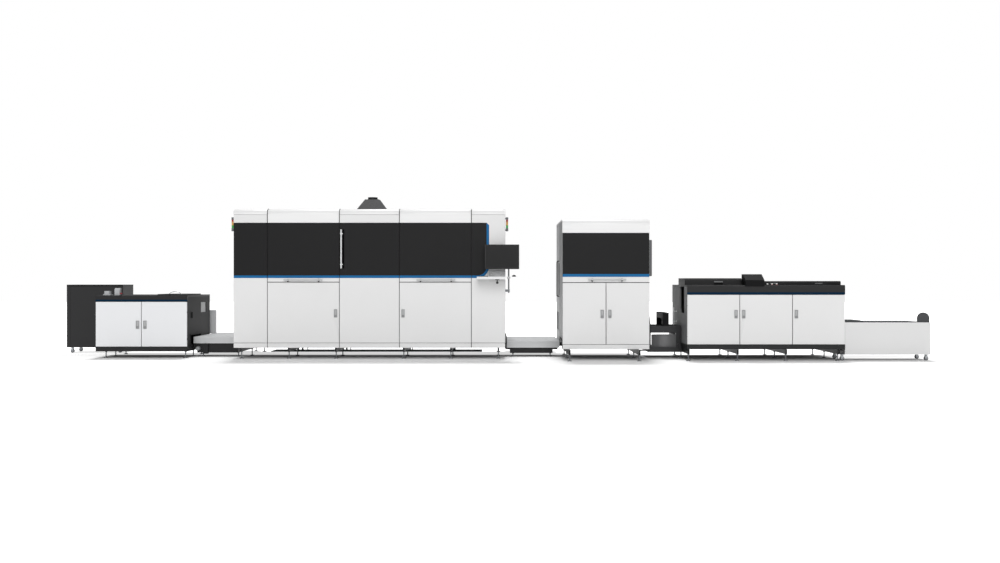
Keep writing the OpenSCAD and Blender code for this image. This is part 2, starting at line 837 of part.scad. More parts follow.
// The control box between the lids, its face leaning back, hooked over the deck's edge
module finish_control_box() color("#3b3b3b") at(finish_x, finish_y)
    across(left_lid_w + 8, left_lid_w + 8 + control_w) polygon([
        [-hook_t, finish_deck_z + 4], [-fit_gap, finish_deck_z + 4], [-fit_gap, finish_top],
        [control_d, finish_top], [control_d, finish_top + control_h],
        [control_d - 95, finish_top + control_h], [-hook_t, finish_top + 70]]);

// Push buttons on the deck of the finishing unit, and the unwinder's mushroom button
module push_buttons() color("#d8d8d6") {
    collar_h = 9;
    cap_h = 14;
    at(finish_x, finish_y, finish_top)
        for (i = [0:2]) translate([left_lid_w + control_w + 61 + 68 * i, 36, 0]) {
            cylinder(r = 15, h = collar_h);
            cylinder(r = 12, h = collar_h + cap_h);
        }
    at(unwinder_x + 374, unwinder_y + 36, unwinder_top) {
        cylinder(r = 10, h = 20);
        translate([0, 0, 20]) cylinder(r = 19, h = 17);
    }
}

module finish_door_1() color("#e2e2e2") at(finish_x, finish_y)
    door_in(0, finish_edges[1], finish_door_z, finish_trim_z, "left");

module finish_door_2() color("#e2e2e2") at(finish_x, finish_y)
    door_in(finish_edges[1], finish_edges[2], finish_door_z, finish_trim_z, "right");

module finish_door_3() color("#e2e2e2") at(finish_x, finish_y)
    door_in(finish_edges[2], finish_w, finish_door_z, finish_trim_z, "right");

// ---- Unwinder ----

module unwinder_base() color("#303234") at(unwinder_x, unwinder_y)
    block(0, unwinder_w, 0, unwinder_d, unwinder_leg_h, unwinder_door_z);

module unwinder_end_walls() at(unwinder_x, unwinder_y) {
    top = unwinder_top - wall_t;
    block(0, wall_t, frame_setback, unwinder_d, unwinder_door_z, top);
    difference() {
        block(unwinder_w - wall_t, unwinder_w, frame_setback, unwinder_d, unwinder_door_z, top);
        block(unwinder_w - wall_t - e, unwinder_w + e, exit_y, exit_y + exit_w,
            exit_z, exit_z + exit_h);
        block(unwinder_w - wall_t - e, unwinder_w + e, small_window_y[0], small_window_y[1],
            small_window_z[0], small_window_z[1]);
    }
}

module unwinder_window() at(unwinder_x, unwinder_y)
    block(unwinder_w - wall_t + pane_in, unwinder_w - pane_in, small_window_y[0],
        small_window_y[1], small_window_z[0], small_window_z[1]);

module unwinder_rear_panel() at(unwinder_x, unwinder_y)
    block(wall_t, unwinder_w - wall_t, unwinder_d - wall_t, unwinder_d,
        unwinder_door_z, unwinder_top - wall_t);

module unwinder_trim() at(unwinder_x, unwinder_y)
    block(0, unwinder_w, 0, frame_setback, unwinder_trim_z + door_gap / 2, unwinder_band_z);

module unwinder_band() at(unwinder_x, unwinder_y)
    block(0, unwinder_w, 0, frame_setback, unwinder_band_z, unwinder_top - wall_t);

module unwinder_deck() at(unwinder_x, unwinder_y) across(0, unwinder_w)
    bevelled_front(0, unwinder_d, unwinder_top - wall_t, unwinder_top, deck_bevel);

module unwinder_lid() color("#1e1f20") at(unwinder_x, unwinder_y)
    across(unwinder_w - 487, unwinder_w - 38)
        bevelled_front(120, 900, unwinder_top, unwinder_top + loading_lid_t, 6);

// Grey boxes on the deck and the bent wire handle of the loading lid
module unwinder_controls() color("#8d9092") at(unwinder_x, unwinder_y, unwinder_top) {
    across(268, 345) bevelled_front(60, 130, 0, 110, 20);
    block(92, 207, 60, 170, 0, 15);
    across(108, 184) bevelled_front(72, 158, 15, 65, 8);
    wire_r = 4;
    bow_r = 140.5;
    bow_rise = 37;
    translate([unwinder_w - 263, 277, loading_lid_t + bow_rise - bow_r]) intersection() {
        rotate([90, 0, 0]) rotate_extrude($fn = 96) translate([bow_r, 0]) circle(wire_r, $fn = 16);
        block(-bow_r, bow_r, -2 * wire_r, 2 * wire_r, bow_r - bow_rise, 2 * bow_r);
    }
}

module unwinder_door_left() color("#e2e2e2") at(unwinder_x, unwinder_y)
    door_in(0, unwinder_edges[1], unwinder_door_z, unwinder_trim_z, "left", unwinder_latch_z);

module unwinder_door_right() color("#e2e2e2") at(unwinder_x, unwinder_y)
    door_in(unwinder_edges[1], unwinder_w, unwinder_door_z, unwinder_trim_z, "right",
        unwinder_latch_z);

// ---- Cabinet and walkways ----

// A closed cabinet with the seams of its front door cut in
module extraction_cabinet() color("#363636") at(0, cabinet_y, caster_h) {
    door_edge = 55;
    door_top = cabinet_h - 30;
    difference() {
        block(0, cabinet_w, 0, cabinet_d, 0, cabinet_h);
        block(door_edge, door_edge + groove_w, -e, groove_t, -e, door_top);
        block(door_edge, cabinet_w + e, -e, groove_t, door_top, door_top + groove_w);
    }
}

// Section of a walkway's cover, grooved along its front and its tread
module cover_section(z) {
    difference() {
        rect(0, bridge_d, z, z + bridge_cover_h);
        for (i = [1:3])
            rect(-e, groove_t, z + i * bridge_cover_h / 4, z + i * bridge_cover_h / 4 + groove_w);
        for (y = [tread_pitch:tread_pitch:bridge_d - tread_pitch])
            rect(y, y + groove_w, z + bridge_cover_h - groove_t, z + bridge_cover_h + e);
    }
}

module bridge_covers() color("#b9bbbd") {
    at(bridge_in_x, bridge_y)
        across(fit_gap, bridge_in_w - fit_gap) cover_section(bridge_in_z);
    at(bridge_out_x, bridge_y)
        across(end_plate_t + fit_gap, bridge_out_w - fit_gap) cover_section(bridge_out_z);
}

// Chassis under the covers, narrower in their lower half
module bridge_bases() color("#242526") {
    in = 20;
    at(bridge_in_x, bridge_y) {
        block(fit_gap, bridge_in_w - fit_gap, in, bridge_d - in, bridge_in_z - 75, bridge_in_z);
        block(50, bridge_in_w - 50, in, bridge_d - in, bridge_in_foot_z, bridge_in_z - 75);
        block(160, 225, -in, 2 * in, 45, bridge_in_z);
    }
    at(bridge_out_x, bridge_y) {
        block(end_plate_t + fit_gap, bridge_out_w - 28, in, bridge_d - in,
            bridge_out_z - 27, bridge_out_z);
        block(75, bridge_out_w - 105, in, bridge_d - in, bridge_out_foot_z, bridge_out_z - 27);
    }
}

// The web motor in front of the first chassis and the cable box on its cover
module bridge_fittings() color("#aeb0b2") at(bridge_in_x, bridge_y) {
    motor_r = 33;
    translate([75, 20, bridge_in_z - 80]) rotate([90, 0, 0]) {
        cylinder(r = motor_r, h = 60);
        cylinder(r = motor_r - 6, h = 78);
    }
    box_z = bridge_in_z + bridge_cover_h;
    upright(1100, 1140) translate([26.5, box_z + 192.5]) rounded(52, 385, 6);
}

// Black frames round the web's openings, the end plate and the pull beside them
module web_frames() color("#151617") {
    frame_w = 20;
    frame_t = 8;
    at(unwinder_x + unwinder_w, unwinder_y) {
        across(0, frame_t) difference() {
            rect(exit_y - frame_w, exit_y + exit_w + frame_w, exit_z - frame_w / 2,
                exit_z + exit_h + frame_w);
            rect(exit_y, exit_y + exit_w, exit_z, exit_z + exit_h);
            rect(bridge_y - unwinder_y - 5, unwinder_d, 0, bridge_in_z + bridge_cover_h + 5);
        }
        pull_z = [unwinder_latch_z + 94, unwinder_latch_z + 187];
        across(0, 2 * frame_t) translate([244, (pull_z[0] + pull_z[1]) / 2])
            rounded(16, pull_z[1] - pull_z[0], 6);
    }
    at(bridge_out_x, bridge_y)
        block(0, end_plate_t, -frame_w, bridge_d, bridge_out_z - 21, bridge_out_z + 152);
    at(tower_x, tower_y) across(-frame_t, 0) difference() {
        rect(web_entry_y[0] - frame_w, web_entry_y[1] + frame_w, tower_door_z, web_entry_z + frame_w);
        rect(web_entry_y[0], web_entry_y[1], tower_door_z - e, web_entry_z);
    }
}

// ---- Paper infeed ----

// Base between tower and finishing unit, a dark box at its right and two rails
module infeed_frame() color("#2e3032") at(infeed_x, infeed_y) {
    right = infeed_w - 5;
    box_x = right - 78;
    block(29, infeed_w - fit_gap, 0, infeed_d, infeed_z - 75, infeed_z);
    block(tower_beams[1] + beam_w / 2 - tower_w, 30, 40, 120, infeed_z - 61, infeed_z - 46);
    block(box_x, right, 0, infeed_d, infeed_z, infeed_z + 182);
    for (y = [0, infeed_d - rail_d]) {
        block(plate_x + plate_t, right, y, y + rail_d, rail_z, head_z);
        block(box_x, right, y, y + rail_d, infeed_z + 182, rail_z);
    }
    translate([right - 40, 0, infeed_z + 29]) rotate([90, 0, 0]) cylinder(r = 27, h = 25);
}

// A curved guide sheet, hollow towards the front
module infeed_sheet() color("#6a6c6e") at(infeed_x, infeed_y) {
    guide_r = 300;
    half = (infeed_w - 83 - 82) / 2;
    back = sqrt(guide_r * guide_r - half * half);
    translate([82 + half, 12 - back, infeed_z]) linear_extrude(190) intersection() {
        difference() {
            circle(guide_r + 2 * sheet_t, $fn = 96);
            circle(guide_r, $fn = 96);
        }
        rect(-half, half, back, 2 * guide_r);
    }
}

// The head over the rails, hollow at its left
module infeed_head() color("#343638") at(infeed_x, infeed_y) difference() {
    block(253, 344, 0, infeed_d, head_z, head_z + 200);
    block(253 - e, 313, 125, infeed_d - rail_d, head_z - e, head_z + 114);
}

// The side plate, leaning in from both ends to the head
module infeed_side_plate() color("#1d1e20") at(infeed_x, infeed_y)
    across(plate_x, plate_x + plate_t) polygon([[0, infeed_z], [infeed_d, infeed_z],
        [infeed_d, head_z], [300, head_z + 215], [200, head_z + 215], [0, head_z]]);

// ---- Delivery belt ----

// The housing on casters, with two rails that dock under the finishing unit
module belt_housing() color("#e0e0e0") at(belt_unit_x, belt_unit_y) {
    block(0, belt_unit_w, 0, belt_unit_d, caster_h, belt_z);
    for (y = [caster_in, belt_unit_d - caster_in])
        block(-60, e, y - 30, y + 30, caster_h, caster_h + 60);
}

module belt_loop() color("#4a4c4e") at(belt_unit_x, belt_unit_y) {
    belt_l = belt_unit_w - 190;
    upright(30, belt_unit_d - 30) translate([belt_l / 2, belt_z + belt_t / 2])
        rounded(belt_l, belt_t, belt_t / 2 - 1);
}

// The round end stop and the tapered guide where the sheets arrive
module belt_end_stop() color("#2a2c2e") at(belt_unit_x, belt_unit_y) {
    low = 60;
    stop_x = belt_unit_w - stop_r;
    upright(40, 80) intersection() {
        union() {
            rect(stop_x - stop_r, stop_x + stop_r, belt_z, belt_z + low);
            translate([stop_x, belt_z + low]) circle(stop_r);
        }
        rect(0, belt_unit_w, belt_z, belt_z + low + 2 * stop_r);
    }
    upright(60, belt_unit_d - 60) polygon([[0, belt_z + belt_t], [290, belt_z + belt_t],
        [290, belt_z + belt_t + 6], [230, belt_z + belt_t + 20], [0, belt_z + belt_t + 20]]);
}

// ---- Pieces shared by the line ----

// A levelling foot: pad, spindle and locknut under a beam at height h
module foot(x, y, h) translate([x, y, 0]) {
    nut_h = 14;
    cylinder(r1 = foot_r, r2 = foot_r - 4, h = 10);
    cylinder(r = spindle_r, h = h, $fn = 24);
    translate([0, 0, h - nut_h]) cylinder(r = spindle_r + 7, h = nut_h, $fn = 6);
}

module levelling_feet() color("#6f7275") {
    at(press_x, 0) for (x = press_beams, y = press_feet_y) foot(x, y, press_leg_h);
    at(tower_x, tower_y) for (x = tower_beams, y = tower_feet_y) foot(x, y, tower_leg_h);
    at(finish_x, finish_y) for (x = finish_beams, y = finish_feet_y) foot(x, y, finish_leg_h);
    at(unwinder_x, unwinder_y) for (x = unwinder_feet_x, y = unwinder_feet_y)
        foot(x, y, unwinder_leg_h);
    at(bridge_in_x, bridge_y) for (x = [120, bridge_in_w - 70], y = [120, bridge_d - 120])
        foot(x, y, bridge_in_foot_z);
    at(bridge_out_x, bridge_y) for (x = [121, bridge_out_w - 139], y = [120, bridge_d - 120])
        foot(x, y, bridge_out_foot_z);
}

// Where the casters stand, in line coordinates
caster_places = concat(
    [for (x = [caster_in, cabinet_w - caster_in], y = [caster_in, cabinet_d - caster_in])
        [x, cabinet_y + y]],
    [for (x = [-23, belt_unit_w - 40], y = [caster_in, belt_unit_d - caster_in])
        [belt_unit_x + x, belt_unit_y + y]]);

module caster_forks() color("#8b8e91") for (p = caster_places) at(p[0], p[1]) {
    half_w = 18;
    fork_in = 15;
    cheek_t = 3;
    plate_h = 4;
    crown_z = 2 * wheel_r + 4;
    translate([-30, -30, caster_h - plate_h]) cube([60, 60, plate_h]);
    translate([0, 0, crown_z]) cylinder(r = 20, h = caster_h - plate_h - crown_z + e);
    difference() {
        block(-half_w, half_w, -fork_in - cheek_t, fork_in + cheek_t, wheel_r - 12, crown_z + cheek_t);
        block(-half_w - e, half_w + e, -fork_in, fork_in, wheel_r - 12 - e, crown_z);
        translate([0, 0, wheel_r]) rotate([90, 0, 0])
            cylinder(r = axle_r + fit_gap, h = 4 * fork_in, center = true);
    }
}

module caster_wheels() color("#232425") for (p = caster_places) at(p[0], p[1], wheel_r)
    rotate([90, 0, 0]) {
        cylinder(r = wheel_r, h = 22, center = true);
        cylinder(r = axle_r, h = 36, center = true, $fn = 24);
    }

module hinge_arms() color("#9a9da0") {
    at(press_x, 0) {
        arms_in(press_edges[1], press_edges[2], press_door_z, press_strip_z, "left");
        arms_in(press_edges[3], press_edges[4], press_door_z, press_strip_z, "right");
    }
    at(tower_x, tower_y) {
        arms_in(0, tower_edges[1], tower_door_z, tower_strip_z, "left");
        arms_in(tower_edges[1], tower_w, tower_door_z, tower_strip_z, "right");
    }
    at(finish_x, finish_y) {
        arms_in(0, finish_edges[1], finish_door_z, finish_trim_z, "left");
        arms_in(finish_edges[1], finish_edges[2], finish_door_z, finish_trim_z, "right");
        arms_in(finish_edges[2], finish_w, finish_door_z, finish_trim_z, "right");
    }
    at(unwinder_x, unwinder_y) {
        arms_in(0, unwinder_edges[1], unwinder_door_z, unwinder_trim_z, "left");
        arms_in(unwinder_edges[1], unwinder_w, unwinder_door_z, unwinder_trim_z, "right");
    }
}

// A pull bar of length w along X on two brackets, its middle at the origin of its panel
module pull_bar(w) {
    eye_w = 18;
    translate([-w / 2, -bar_out, 0]) rotate([0, 90, 0]) cylinder(r = bar_r, h = w, $fn = 32);
    for (x = [-w / 2 + 60, w / 2 - 60]) {
        translate([x - eye_w / 2, -bar_out, 0]) rotate([0, 90, 0])
            cylinder(r = bar_r + 4, h = eye_w, $fn = 32);
        block(x - 4, x + 4, -bar_out, 0, -bar_r, bar_r);
        block(x - eye_w / 2, x + eye_w / 2, -4, 0, -bar_r - 10, bar_r + 10);
    }
}

module pull_bars() color("#8f9294") {
    at(press_x, 0, press_strip_z + 34) {
        translate([(press_edges[1] + press_edges[2]) / 2, 0, 0]) pull_bar(bar_w);
        translate([(press_edges[3] + press_edges[4]) / 2 + 10, 0, 0]) pull_bar(bar_w);
    }
    at(press_x + grip_bar_x, 0, (grip_bar_z[0] + grip_bar_z[1]) / 2)
        rotate([0, 90, 0]) pull_bar(grip_bar_z[1] - grip_bar_z[0]);
    at(tower_x + tower_w / 2 + 14, tower_y, tower_strip_z + 46) pull_bar(bar_w - 20);
    at(finish_x, finish_y + slot_y + slot_w + 288, (slot_z0 + 558) / 2)
        rotate([0, 90, -90]) pull_bar(275);
}

// Two signal bars with three lens segments between caps, on brackets at the end walls
module signal_lamps() color("#a5a7a9") at(press_x, 0) {
    lamp_w = 38;
    lamp_d = 50;
    cap_z = press_header_z - 125;
    lens_z = cap_z + 45;
    lens_h = [45, 53, 30];
    lens_top = lens_z + lens_h[0] + lens_h[1] + lens_h[2];
    for (side = [-1, 1]) translate([side < 0 ? 0 : press_w, 85, 0]) {
        translate([side * (lamp_w / 2 + 7), 0, 0]) {
            translate([0, 0, cap_z]) linear_extrude(45 + e) rounded(lamp_w, lamp_d, 12, $fn = 32);
            translate([0, 0, lens_z]) linear_extrude(lens_top - lens_z + e)
                rounded(lamp_w - 4, lamp_d - 4, 10, $fn = 32);
            for (z = [lens_z + lens_h[0], lens_z + lens_h[0] + lens_h[1]])
                translate([0, 0, z - 1]) linear_extrude(2) rounded(lamp_w - 1, lamp_d - 1, 11, $fn = 32);
            translate([0, 0, lens_top]) linear_extrude(37) rounded(lamp_w, lamp_d, 12, $fn = 32);
        }
        for (z = [cap_z + 8, lens_top + 8]) translate([side < 0 ? -10 : 0, -12, z]) cube([10, 24, 20]);
    }
}

// Raised covers on the outer walls and two studs beside the tower's window
module side_covers() color("#c9cbcd") {
    at(press_x, 0, 1008) across(-15, 0) translate([700, 285]) rounded(800, 569, 20);
    at(tower_x + tower_w, tower_y, 1241) across(0, 30) translate([575, 271]) rounded(650, 542, 20);
    at(tower_x, tower_y) for (z = [window_z0 + 13, window_z0 + window_h - 21])
        translate([-12, window_y[0] - 14, z]) rotate([0, 90, 0]) cylinder(r = 9, h = 12, $fn = 24);
}

// ---- Operator console ----

module console_pole() color("#b0b2b4") at(press_x, 0) {
    arm_h = 36;
    arm_y = [50, 80];
    translate([pole_x, pole_y, pole_z0]) cylinder(r = pole_r, h = pole_z1 - pole_z0);
    for (z = [pole_bracket_z - arm_h / 2]) {
        block(press_w, pole_x + 16, arm_y[0], arm_y[1], z, z + arm_h);
        block(pole_x - 16, pole_x + 16, pole_y - 16, arm_y[1], z, z + arm_h);
    }
}

// A folded tray for the keyboard, a thin plate for the mouse and a clamp on the pole
module keyboard_shelf() color("#dcdcdc") at(press_x + shelf_x, 0, shelf_z) {
    right = pole_x - shelf_x;
    shelf_y = [-330, -50];
    clamp = 25;
    difference() {
        block(0, shelf_w, shelf_y[0], shelf_y[1], -shelf_lip, 0);
        block(sheet_t, shelf_w - sheet_t, shelf_y[0] + sheet_t, shelf_y[1] - sheet_t,
            -shelf_lip - e, -sheet_t);
    }
    block(shelf_w - e, right + 151, shelf_y[0] + 30, shelf_y[1] - 30, -3, 0);
    difference() {
        block(right - clamp, right + clamp, shelf_y[1] - 31, pole_y + clamp, -30, 0);
        translate([right, pole_y, -40]) cylinder(r = pole_r + fit_gap, h = 50);
    }
    difference() {
        block(178, shelf_w, shelf_y[1] - 10, shelf_y[1], 0, 89);
        for (side = [-1, 1]) upright(shelf_y[1] - 11, shelf_y[1] + 1)
            translate([(178 + shelf_w) / 2, 12]) polygon([[side * 105, 0], [side * 58, 0], [side * 105, 60]]);
    }
    upright(shelf_y[1] - 40, shelf_y[1] - 10) translate([(178 + shelf_w) / 2, 0]) difference() {
        translate([0, -15]) circle(52);
        rect(-60, 60, -80, 0);
    }
    translate([(178 + shelf_w) / 2, shelf_y[0] + 60, 0]) {
        block(-30, 30, -20, 20, -52, -sheet_t);
        translate([0, 20, -88]) rotate([90, 0, 0]) cylinder(r = 19.5, h = 40, $fn = 32);
        block(-8, 8, -8, 8, -80, -50);
    }
}

// A keyboard on the tray and a mouse on the plate beside it
module keyboard_and_mouse() color("#26272a") at(press_x + shelf_x, 0, shelf_z) {
    upright(-290, -160) polygon([[29, 0], [178 - 12, 0], [178 - 12, 9], [33, 9], [29, 6]]);
    translate([pole_x - shelf_x + 77, -200, 0]) rotate([90, 0, 0])
        linear_extrude(100, center = true) intersection() {
            translate([0, -12]) circle(38);
            rect(-30, 30, 0, 40);
        }
}

// The screen with its bezel, and the hub that turns on the pole
module console_screen() color("#1b1c1e") at(press_x, 0) {
    bezel = 16;
    hub_h = 80;
    difference() {
        translate([pole_x - 100, -150, screen_z + screen_h / 2]) rotate([90, 0, 0])
            linear_extrude(40) rounded(screen_w, screen_h, 8, $fn = 32);
        block(pole_x - 100 - screen_w / 2 + bezel, pole_x - 100 + screen_w / 2 - bezel,
            -190 - e, -187, screen_z + bezel + 4, screen_z + screen_h - bezel);
    }
    block(pole_x - 220, pole_x + 20, -150 - e, -120, screen_z + 80, screen_z + screen_h - 80);
    difference() {
        union() {
            translate([pole_x, pole_y, screen_hub_z]) cylinder(r = 24, h = hub_h);
            block(pole_x - 20, pole_x + 20, -125, pole_y, screen_hub_z + 10, screen_hub_z + hub_h - 10);
        }
        translate([pole_x, pole_y, screen_hub_z - e]) cylinder(r = pole_r + pin_gap, h = hub_h + 2 * e);
    }
}

// ---- Like pieces of several units, one node each ----

// Cross beams and sills under the print unit, the tower and the finishing unit
module base_frames() color("#33363a") {
    press_base();
    tower_base();
    finish_base();
}

// Bulkheads between the bays
module bulkheads() color("#46494d") {
    press_bulkheads();
    finish_bulkheads();
}

// Floors and ceilings of the lower compartments
module decks() color("#5a5d61") {
    press_decks();
    tower_decks();
}

// White skirts under the doors, front and rear
module skirts() color("#e2e2e2") {
    press_skirt();
    tower_skirt();
}

// Fixed white panels
module lower_panels() color("#e2e2e2") {
    press_lower_panels();
    tower_strip();
    press_corner_panel();
}

// The stripe that runs along both units
module blue_stripes() color("#2d68a5") {
    press_stripe();
    tower_stripe();
}

// Black upper covers
module upper_covers() color("#303030") {
    press_upper_covers();
    tower_upper_panels();
}

// Round-edged white headers
module headers() color("#e6e6e6") {
    press_header();
    tower_header();
}

// Roof plates
module roofs() color("#d8d9da") {
    press_roof();
    tower_roof();
}

// Rear panels
module rear_panels() color("#d8d9da") {
    press_rear_panels();
    tower_rear_panels();
}

// White end walls
module end_walls() color("#d8d9da") {
    press_end_walls();
    tower_right_wall();
}

// Grey end walls of the low units
module low_end_walls() color("#5b5b5b") {
    finish_end_walls();
    unwinder_end_walls();
}

// Rear panels of the low units
module low_rear_panels() color("#4b4b4b") {
    finish_rear_panel();
    unwinder_rear_panel();
}

// Navy trims over the doors of the low units
module navy_trims() color("#052346") {
    finish_trim();
    unwinder_trim();
}

// Dark bands over the trims
module dark_bands() color("#343434") {
    finish_band();
    unwinder_band();
}

// Top plates of the low units
module low_decks() color("#3a3a3a") {
    finish_deck();
    unwinder_deck();
}

// Windows in the side walls
module side_windows() color("#6b6e71") {
    tower_window();
    unwinder_window();
}

// Lids of the finishing unit
module finish_lids() color("#2f2f2f") {
    finish_left_lid();
    finish_right_lid();
}

base_frames();
bulkheads();
decks();
skirts();
lower_panels();
blue_stripes();
upper_covers();
headers();
roofs();
rear_panels();
end_walls();
low_end_walls();
low_rear_panels();
navy_trims();
dark_bands();
low_decks();
side_windows();
finish_lids();
press_seam_fins();
press_door_left();
press_door_right();
exhaust_hood();
drip_tray();
tower_left_wall();
tower_door_left();
tower_door_right();
finish_control_box();
push_buttons();
finish_door_1();
finish_door_2();
finish_door_3();
unwinder_base();
unwinder_lid();
unwinder_controls();
unwinder_door_left();
unwinder_door_right();
extraction_cabinet();
bridge_bases();
bridge_covers();
bridge_fittings();
web_frames();
infeed_frame();
infeed_sheet();
infeed_head();
infeed_side_plate();
belt_housing();
belt_loop();
belt_end_stop();
levelling_feet();
caster_forks();
caster_wheels();
hinge_arms();
pull_bars();
signal_lamps();
side_covers();
console_pole();
keyboard_shelf();
keyboard_and_mouse();
console_screen();
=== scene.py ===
import json
import math

import bmesh
import bpy
import numpy as np
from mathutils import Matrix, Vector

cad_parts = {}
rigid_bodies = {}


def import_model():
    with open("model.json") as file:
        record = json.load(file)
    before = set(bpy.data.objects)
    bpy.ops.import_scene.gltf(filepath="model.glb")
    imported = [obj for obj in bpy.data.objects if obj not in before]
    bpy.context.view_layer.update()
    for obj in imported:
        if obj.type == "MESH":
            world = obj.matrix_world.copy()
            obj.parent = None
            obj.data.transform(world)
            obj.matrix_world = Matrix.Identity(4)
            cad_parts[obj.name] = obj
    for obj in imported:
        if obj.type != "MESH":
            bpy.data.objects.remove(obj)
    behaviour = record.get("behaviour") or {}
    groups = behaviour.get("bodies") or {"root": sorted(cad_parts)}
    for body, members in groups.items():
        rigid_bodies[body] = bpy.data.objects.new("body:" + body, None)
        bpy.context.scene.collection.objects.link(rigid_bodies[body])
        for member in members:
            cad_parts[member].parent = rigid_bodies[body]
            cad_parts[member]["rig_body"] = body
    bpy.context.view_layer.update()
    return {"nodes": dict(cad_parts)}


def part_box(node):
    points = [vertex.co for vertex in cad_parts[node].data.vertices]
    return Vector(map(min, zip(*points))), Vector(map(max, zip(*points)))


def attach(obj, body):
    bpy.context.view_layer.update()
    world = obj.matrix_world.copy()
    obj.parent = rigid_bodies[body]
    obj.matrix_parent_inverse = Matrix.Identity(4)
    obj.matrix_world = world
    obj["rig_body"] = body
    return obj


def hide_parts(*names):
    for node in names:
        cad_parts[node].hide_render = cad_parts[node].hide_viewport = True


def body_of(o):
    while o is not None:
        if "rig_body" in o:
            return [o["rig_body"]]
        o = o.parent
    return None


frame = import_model()
nodes = frame["nodes"]


# ---- Camera ----
# A level view square to the operator side, as high as a standing operator's chest. The lens
# takes in the whole line, from the extraction cabinet to the belt unit.

lens = 39.6
sensor_width = 36.0
camera_x = 0.36675
camera_y = -17.225
camera_height = 1.16
view_reach = 400.0

camera_data = bpy.data.cameras.new("camera")
camera_data.lens = lens
camera_data.sensor_width = sensor_width
camera_data.clip_end = view_reach
camera = bpy.data.objects.new("camera", camera_data)
camera.location = (camera_x, camera_y, camera_height)
camera.rotation_euler = (math.radians(90.0), 0.0, 0.0)
bpy.context.scene.collection.objects.link(camera)
bpy.context.scene.camera = camera
bpy.context.scene.view_settings.view_transform = "Standard"


# ---- Studio floor ----
# A white studio floor, which glows behind the line and so runs into the white sky. The glow is
# painted light: seen by the lens and in reflections, it grows in from under the middle of the
# line's depth and lifts the floor's shadow there. With it come two classes that turn sums on
# shader sockets into nodes, and a function that turns display colours into light.

class Flow:
    """A shader socket that works in Python sums. Each operator adds one Math node."""

    def __init__(self, finish, socket):
        self.finish = finish
        self.socket = socket

    def _sum(self, operation, first, second):
        return self.finish.node("ShaderNodeMath", {"operation": operation}, {0: first, 1: second})

    def __add__(self, other):
        return self._sum("ADD", self, other)

    __radd__ = __add__

    def __sub__(self, other):
        return self._sum("SUBTRACT", self, other)

    def __rsub__(self, other):
        return self._sum("SUBTRACT", other, self)

    def __mul__(self, other):
        return self._sum("MULTIPLY", self, other)

    __rmul__ = __mul__

    def __gt__(self, other):
        return self._sum("GREATER_THAN", self, other)

    def __lt__(self, other):
        return self._sum("LESS_THAN", self, other)

    def part(self, name):
        """One component of a vector socket, by its letter."""
        return self.finish.node("ShaderNodeSeparateXYZ", {}, {0: self}, name)

    def wave(self):
        """The sine of this socket."""
        return self.finish.node("ShaderNodeMath", {"operation": "SINE"}, {0: self})


class Finish:
    """One material, or the world, under construction."""

    def __init__(self, name, data=None):
        self.material = data or bpy.data.materials.new(name)
        self.material.use_nodes = True
        self.tree = self.material.node_tree
        self.tree.nodes.clear()

    def node(self, kind, settings, sockets, output=0):
        """Adds a node, makes its settings first, then sets or links its sockets."""
        made = self.tree.nodes.new(kind)
        for name, value in settings.items():
            setattr(made, name, value)
        for name, value in sockets.items():
            if isinstance(value, Flow):
                self.tree.links.new(value.socket, made.inputs[name])
            else:
                made.inputs[name].default_value = value
        return Flow(self, made.outputs[output])

    def place(self, letter=None):
        """Position on the object in metres, or one component of it."""
        at = self.node("ShaderNodeTexCoord", {}, {}, "Object")
        return at.part(letter) if letter else at

    def stretched(self, factors):
        """Position times these factors, which draws noise out along the small ones."""
        return self.node("ShaderNodeVectorMath", {"operation": "MULTIPLY"}, {0: self.place(), 1: factors})

    def noise(self, scale, detail=3.0, at=None):
        """Cloudy noise from 0 to 1, with scale features to the metre."""
        return self.node("ShaderNodeTexNoise", {}, {
            "Vector": at or self.place(), "Scale": scale, "Detail": detail}, "Fac")

    def seen_by(self, first, second):
        """1 for light rays of either kind, by their names on the Light Path node."""
        ray = self.tree.nodes.new("ShaderNodeLightPath")
        return self.node("ShaderNodeMath", {"operation": "MAXIMUM"}, {
            0: Flow(self, ray.outputs[first]), 1: Flow(self, ray.outputs[second])})

    def between(self, mask, first, second):
        """The first colour where the mask is 0, the second where it is 1."""
        return self.node("ShaderNodeMix", {"data_type": "RGBA"}, {0: mask, 6: first, 7: second}, 2)

    def darkened(self, colour, share):
        """The colour with this share of black in it, which cloud noise makes vary."""
        return self.between(share, colour, black)

    def relief(self, height, depth):
        """A bump of this height socket, depth metres deep."""
        return self.node("ShaderNodeBump", {}, {"Height": height, "Strength": 1.0, "Distance": depth})

    def texture(self, depth, scale=650.0, detail=1.0):
        """Fine noise as relief: orange peel in paint, or the grain of a mould."""
        return self.relief(self.noise(scale, detail), depth)

    def surface(self, **sockets):
        """Ends the material in one Principled shader and returns the material."""
        named = {key.replace("_", " "): value for key, value in sockets.items()}
        return self.output(self.node("ShaderNodeBsdfPrincipled", {}, named))

    def output(self, shader, kind="ShaderNodeOutputMaterial"):
        """Ends the tree in this shader."""
        self.tree.links.new(shader.socket, self.tree.nodes.new(kind).inputs["Surface"])
        return self.material


def tone(red, green, blue):
    """A display colour, 0 to 255, as the linear value that shaders use."""
    shown = np.array([red, green, blue]) / 255.0
    linear = np.where(shown <= 0.04045, shown / 12.92, ((shown + 0.055) / 1.055) ** 2.4)
    return (*(float(value) for value in linear), 1.0)


floor_size = 90.0
floor_bounced = (0.86, 0.86, 0.86, 1.0)
floor_seen = (0.98, 0.98, 0.98, 1.0)
backdrop_glow = 0.62
backdrop_from = 0.05
backdrop_full = 0.30

white = (1.0, 1.0, 1.0, 1.0)
black = (0.0, 0.0, 0.0, 1.0)

